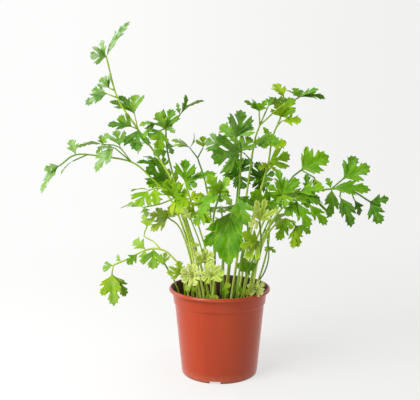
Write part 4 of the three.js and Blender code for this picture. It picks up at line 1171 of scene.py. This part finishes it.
# Leaves on the right
# Leaves that fan out to the right in tiers, one tall and yellower, the lowest hanging below.
right_leaves = [
    dict(name="right_tall", root=(15, 2), girth=1.8, tone=0.72,
         stem=[(24, 4, 160), (34, 6, 230), (43, 8, 295), (50, 10, 318)],
         sprigs=[
             dict(at=4, stalk=[(49, 6, 335)], face=UP,
                  tips=[(30, 0, 348, 0.5, TILTED), (40, 16, 350, 0.6), (58, 2, 349, 0.7, FRONT)]),
             dict(at=4, stalk=[(60, 16, 341)], face=UP, tips=[(84, 4, 350, 0.6), (68, 36, 352, 0.6)]),
             dict(at=4, stalk=[(76, 12, 341), (98, 10, 352)], face=TILTED,
                  tips=[(92, 20, 364, 0.8), (123, 0, 362, 0.5), (132, 14, 351, 0.35), (81, 2, 361, 0.8)]),
             dict(at=3, face=TILTED, tips=[(77, -14, 296, 0.55)]),
         ]),
    dict(name="right_yellow", root=(24, 16), girth=1.7, tone=0.4, stalk_tone=0.1,
         stem=[(36, 24, 165), (52, 30, 235), (61, 32, 270), (66, 34, 302), (76, 36, 328)],
         sprigs=[
             dict(at=5, tips=[(70, 26, 347, 0.9), (95, 22, 336, 0.7), (92, 44, 352, 0.7)]),
             dict(at=5, stalk=[(80, 52, 352)], face=TILTED, tips=[(63, 40, 363, 0.5), (67, 70, 369, 0.7)]),
             dict(at=4.5, stalk=[(77, 28, 323)], tips=[(102, 24, 324, 0.7)]),
             dict(at=3, tone=0.28, tips=[(89, 22, 281, 0.9), (49, 24, 263, 0.7), (72, 26, 261, 0.5)]),
             dict(at=3.7, tips=[(44, 24, 297, 0.8), (84, 20, 297, 0.8), (54, 26, 316, 0.4)]),
         ]),
    dict(name="fan_right", root=(38, 4), girth=1.2, tone=0.5,
         stem=[(52, 8, 126), (62, 10, 165), (66, 12, 205), (88, 14, 248), (103, 14, 262)],
         sprigs=[
             dict(at=5, tips=[(138, 8, 280, 0.8), (110, 22, 293, 0.3)]),
             dict(at=5, stalk=[(120, 8, 252)], face=LEFT, tips=[(112, 2, 237, 0.7), (133, 2, 235, 0.6)]),
             dict(at=2, tips=[(72, 4, 156, 0.5), (59, 2, 157, 0.6)]),
             dict(at=0.7, stalk=[(58, 4, 131), (63, 2, 151), (61, 0, 172)], tips=[(57, 0, 187, 0.5)]),
         ]),
    dict(name="far_right", root=(34, -12), girth=1.4, tone=0.77, pale=0.06,
         stem=[(50, -14, 160), (78, -16, 212), (112, -18, 232), (141, -20, 238), (166, -20, 236),
               (190, -22, 222)],
         sprigs=[
             dict(at=4, tips=[(192, -34, 236, 0.4, TILTED), (135, -12, 252, 0.6), (136, -34, 200, 0.5)]),
             dict(at=4, stalk=[(156, -12, 251)], tips=[(171, 0, 280, 0.6), (190, -22, 267, 0.65)]),
             dict(at=4.5, stalk=[(152, -28, 228)], tips=[(167, -38, 188, 0.5)]),
             dict(at=5, stalk=[(170, -10, 225)], tips=[(177, -8, 204, 0.7)]),
             dict(at=6, tips=[(214, -26, 226, 0.6), (206, -30, 193, 0.65)]),
             dict(at=3, tips=[(109, -12, 257, 0.5)]),
         ]),
    dict(name="bushy_right", root=(26, -22), girth=1.4, tone=0.6,
         stem=[(40, -34, 150), (58, -42, 200), (80, -46, 230)],
         sprigs=[
             dict(at=3,
                  tips=[(61, -44, 242, 0.9), (72, -36, 264, 0.4), (101, -48, 251, 0.7), (63, -52, 213, 0.8),
                        (84, -64, 214, 0.9)]),
             dict(at=3, stalk=[(98, -46, 232)], face=TILTED,
                  tips=[(133, -54, 241, 0.5), (128, -34, 222, 0.5), (112, -62, 213, 0.8, FRONT),
                        (140, -70, 202, 0.3)]),
             dict(at=3, stalk=[(98, -50, 222)], tips=[(115, -60, 187, 0.5), (83, -60, 204, 0.8)]),
             dict(at=2.3, tips=[(38, -60, 234, 0.8), (75, -60, 212, 0.7)]),
             dict(at=3, stalk=[(111, -62, 220)], tips=[(137, -68, 191, 0.42)]),
         ]),
    dict(name="low_right", root=(38, -28), girth=1.2, tone=0.42,
         stem=[(50, -38, 150), (64, -44, 184), (84, -48, 200), (96, -48, 191)],
         sprigs=[
             dict(at=4, tips=[(100, -54, 163, 0.5), (116, -50, 181, 0.6), (94, -58, 160, 0.4)]),
             dict(at=3, tips=[(73, -56, 171, 0.6), (93, -56, 186, 0.9)]),
         ]),
    dict(name="sprout_right", root=(29, -41), girth=1, tone=0.6,
         stem=[(33, -50, 115), (34, -52, 130)],
         sprigs=[
             dict(at=2, tips=[(22, -54, 141, 0.8), (47, -66, 140, 0.8), (29, -56, 149, 0.8)]),
             dict(at=0.5, tone=0.3, tips=[(39, -48, 108, 0.7), (23, -50, 110, 0.7)]),
         ]),
]
for spec in right_leaves:
    leaf = grow(spec, green_finishes)
    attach(leaf, "root")
    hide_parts(f"frond_{spec['name']}")


# Leaves at the back
# Three leaves that lean back and down behind the others, and face away from the front.
rear_leaves = [
    dict(name="rear_left", root=(-16, 42), girth=1.5, tone=0.62,
         stem=[(-30, 66, 160), (-48, 84, 205), (-62, 94, 234)],
         sprigs=[
             dict(at=3, face=BACK, tips=[(-70, 98, 264, 0.9), (-88, 112, 243, 0.8), (-48, 122, 240, 0.8)]),
             dict(at=2.5, stalk=[(-56, 108, 224)], face=BACK, tips=[(-52, 130, 202, 0.8)]),
         ]),
    dict(name="rear_right", root=(32, 36), girth=1.4, tone=0.6,
         stem=[(44, 54, 150), (64, 82, 200), (84, 98, 226)],
         sprigs=[
             dict(at=3, face=BACK, tips=[(96, 106, 248, 0.9), (111, 112, 228, 0.8), (70, 126, 240, 0.7)]),
             dict(at=2.5, stalk=[(72, 110, 206)], face=BACK, tips=[(80, 134, 188, 0.8)]),
         ]),
    dict(name="rear_middle", root=(2, 42), girth=1.4, tone=0.62,
         stem=[(4, 62, 150), (4, 94, 190), (2, 120, 214)],
         sprigs=[
             dict(at=3, face=UP, tips=[(2, 156, 206, 0.9), (-26, 132, 204, 0.7), (28, 132, 206, 0.7)]),
         ]),
]
for spec in rear_leaves:
    leaf = grow(spec, green_finishes)
    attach(leaf, "root")
    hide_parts(f"frond_{spec['name']}")


# Young shoots
# Short shoots low among the stalks and over the rim, with pale gold leaflets that are greener
# along their veins.
YOUNG_TONE = 0.3
YOUNG_DEPTH = 0.5
young_shoots = [
    dict(name="gold_low_left", root=(-34, -38), girth=1, stem=[(-35, -46, 112), (-34, -50, 125)],
         sprigs=[dict(at=2,
                      tips=[(-50, -56, 134, 1.1), (-30, -58, 141, 1.1), (-30, -64, 112, 1),
                            (-49, -64, 117, 0.9)]),
                 dict(at=1, tone=1, tips=[(-45, -40, 108, 0.8), (-29, -44, 104, 0.8)])]),
    dict(name="gold_centre_left", root=(-19, -30), girth=1, tone=0.42,
         stem=[(-18, -38, 125), (-19, -42, 143)],
         sprigs=[dict(at=2,
                      tips=[(-31, -52, 151, 1.1), (-20, -44, 162, 1.1), (-7, -50, 156, 0.9),
                            (-8, -56, 141, 0.9)]),
                 dict(at=2, stalk=[(-26, -48, 170), (-37, -50, 199)], tips=[(-46, -54, 213, 0.7)])]),
    dict(name="gold_centre", root=(-8, -47), girth=1, tone=0.52, stem=[(-8, -60, 115), (-8, -64, 126)],
         sprigs=[dict(at=2,
                      tips=[(-9, -72, 142, 1.1), (7, -74, 130, 1.1), (-24, -70, 120, 1),
                            (0, -78, 117, 0.8)]),
                 dict(at=0.2, face=TILTED, tone=1, tips=[(-17, -52, 101, 0.9), (-3, -56, 100, 0.9)])]),
    dict(name="gold_left", root=(-42, -30), girth=1, tone=0.9, stem=[(-46, -44, 118), (-50, -50, 127)],
         sprigs=[dict(at=2, tips=[(-69, -62, 129, 0.9), (-53, -48, 145, 0.8)])]),
    # Its tone lies past the palest: partly its own pale colour, partly painted light against the shade it
    # sits in.
    dict(name="gold_right", root=(46, -17), girth=1, tone=-0.1, stem=[(46, -30, 98), (46, -38, 108)],
         sprigs=[dict(at=2,
                      tips=[(35, -38, 113, 1), (57, -48, 102, 0.9), (59, -44, 116, 0.9),
                            (40, -50, 99, 0.8)])]),
    dict(name="gold_mid_right", root=(24, -46), girth=1.1, tone=1.0,
         stem=[(36, -62, 130), (48, -82, 156), (50, -84, 170)],
         sprigs=[dict(at=3, tips=[(28, -92, 181, 0.8), (34, -94, 147, 0.95), (26, -98, 163, 0.5)])]),
    dict(name="gold_high_right", root=(33, -36), girth=1, tone=0.7,
         stem=[(44, -50, 130), (53, -60, 160), (51, -64, 196)],
         sprigs=[dict(at=3, face=FRONT_LEFT, tone=0.15, tips=[(36, -74, 190, 0.9)]),
                 dict(at=3, tone=0.6,
                      tips=[(40, -68, 217, 0.45), (46, -70, 225, 0.4), (58, -66, 227, 0.4),
                            (75, -76, 212, 0.35)])]),
]
for spec in young_shoots:
    spec.setdefault("tone", YOUNG_TONE)
    spec.setdefault("depth", YOUNG_DEPTH)
    leaf = grow(spec, gold_finishes)
    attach(leaf, "root")
    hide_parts(f"frond_{spec['name']}")
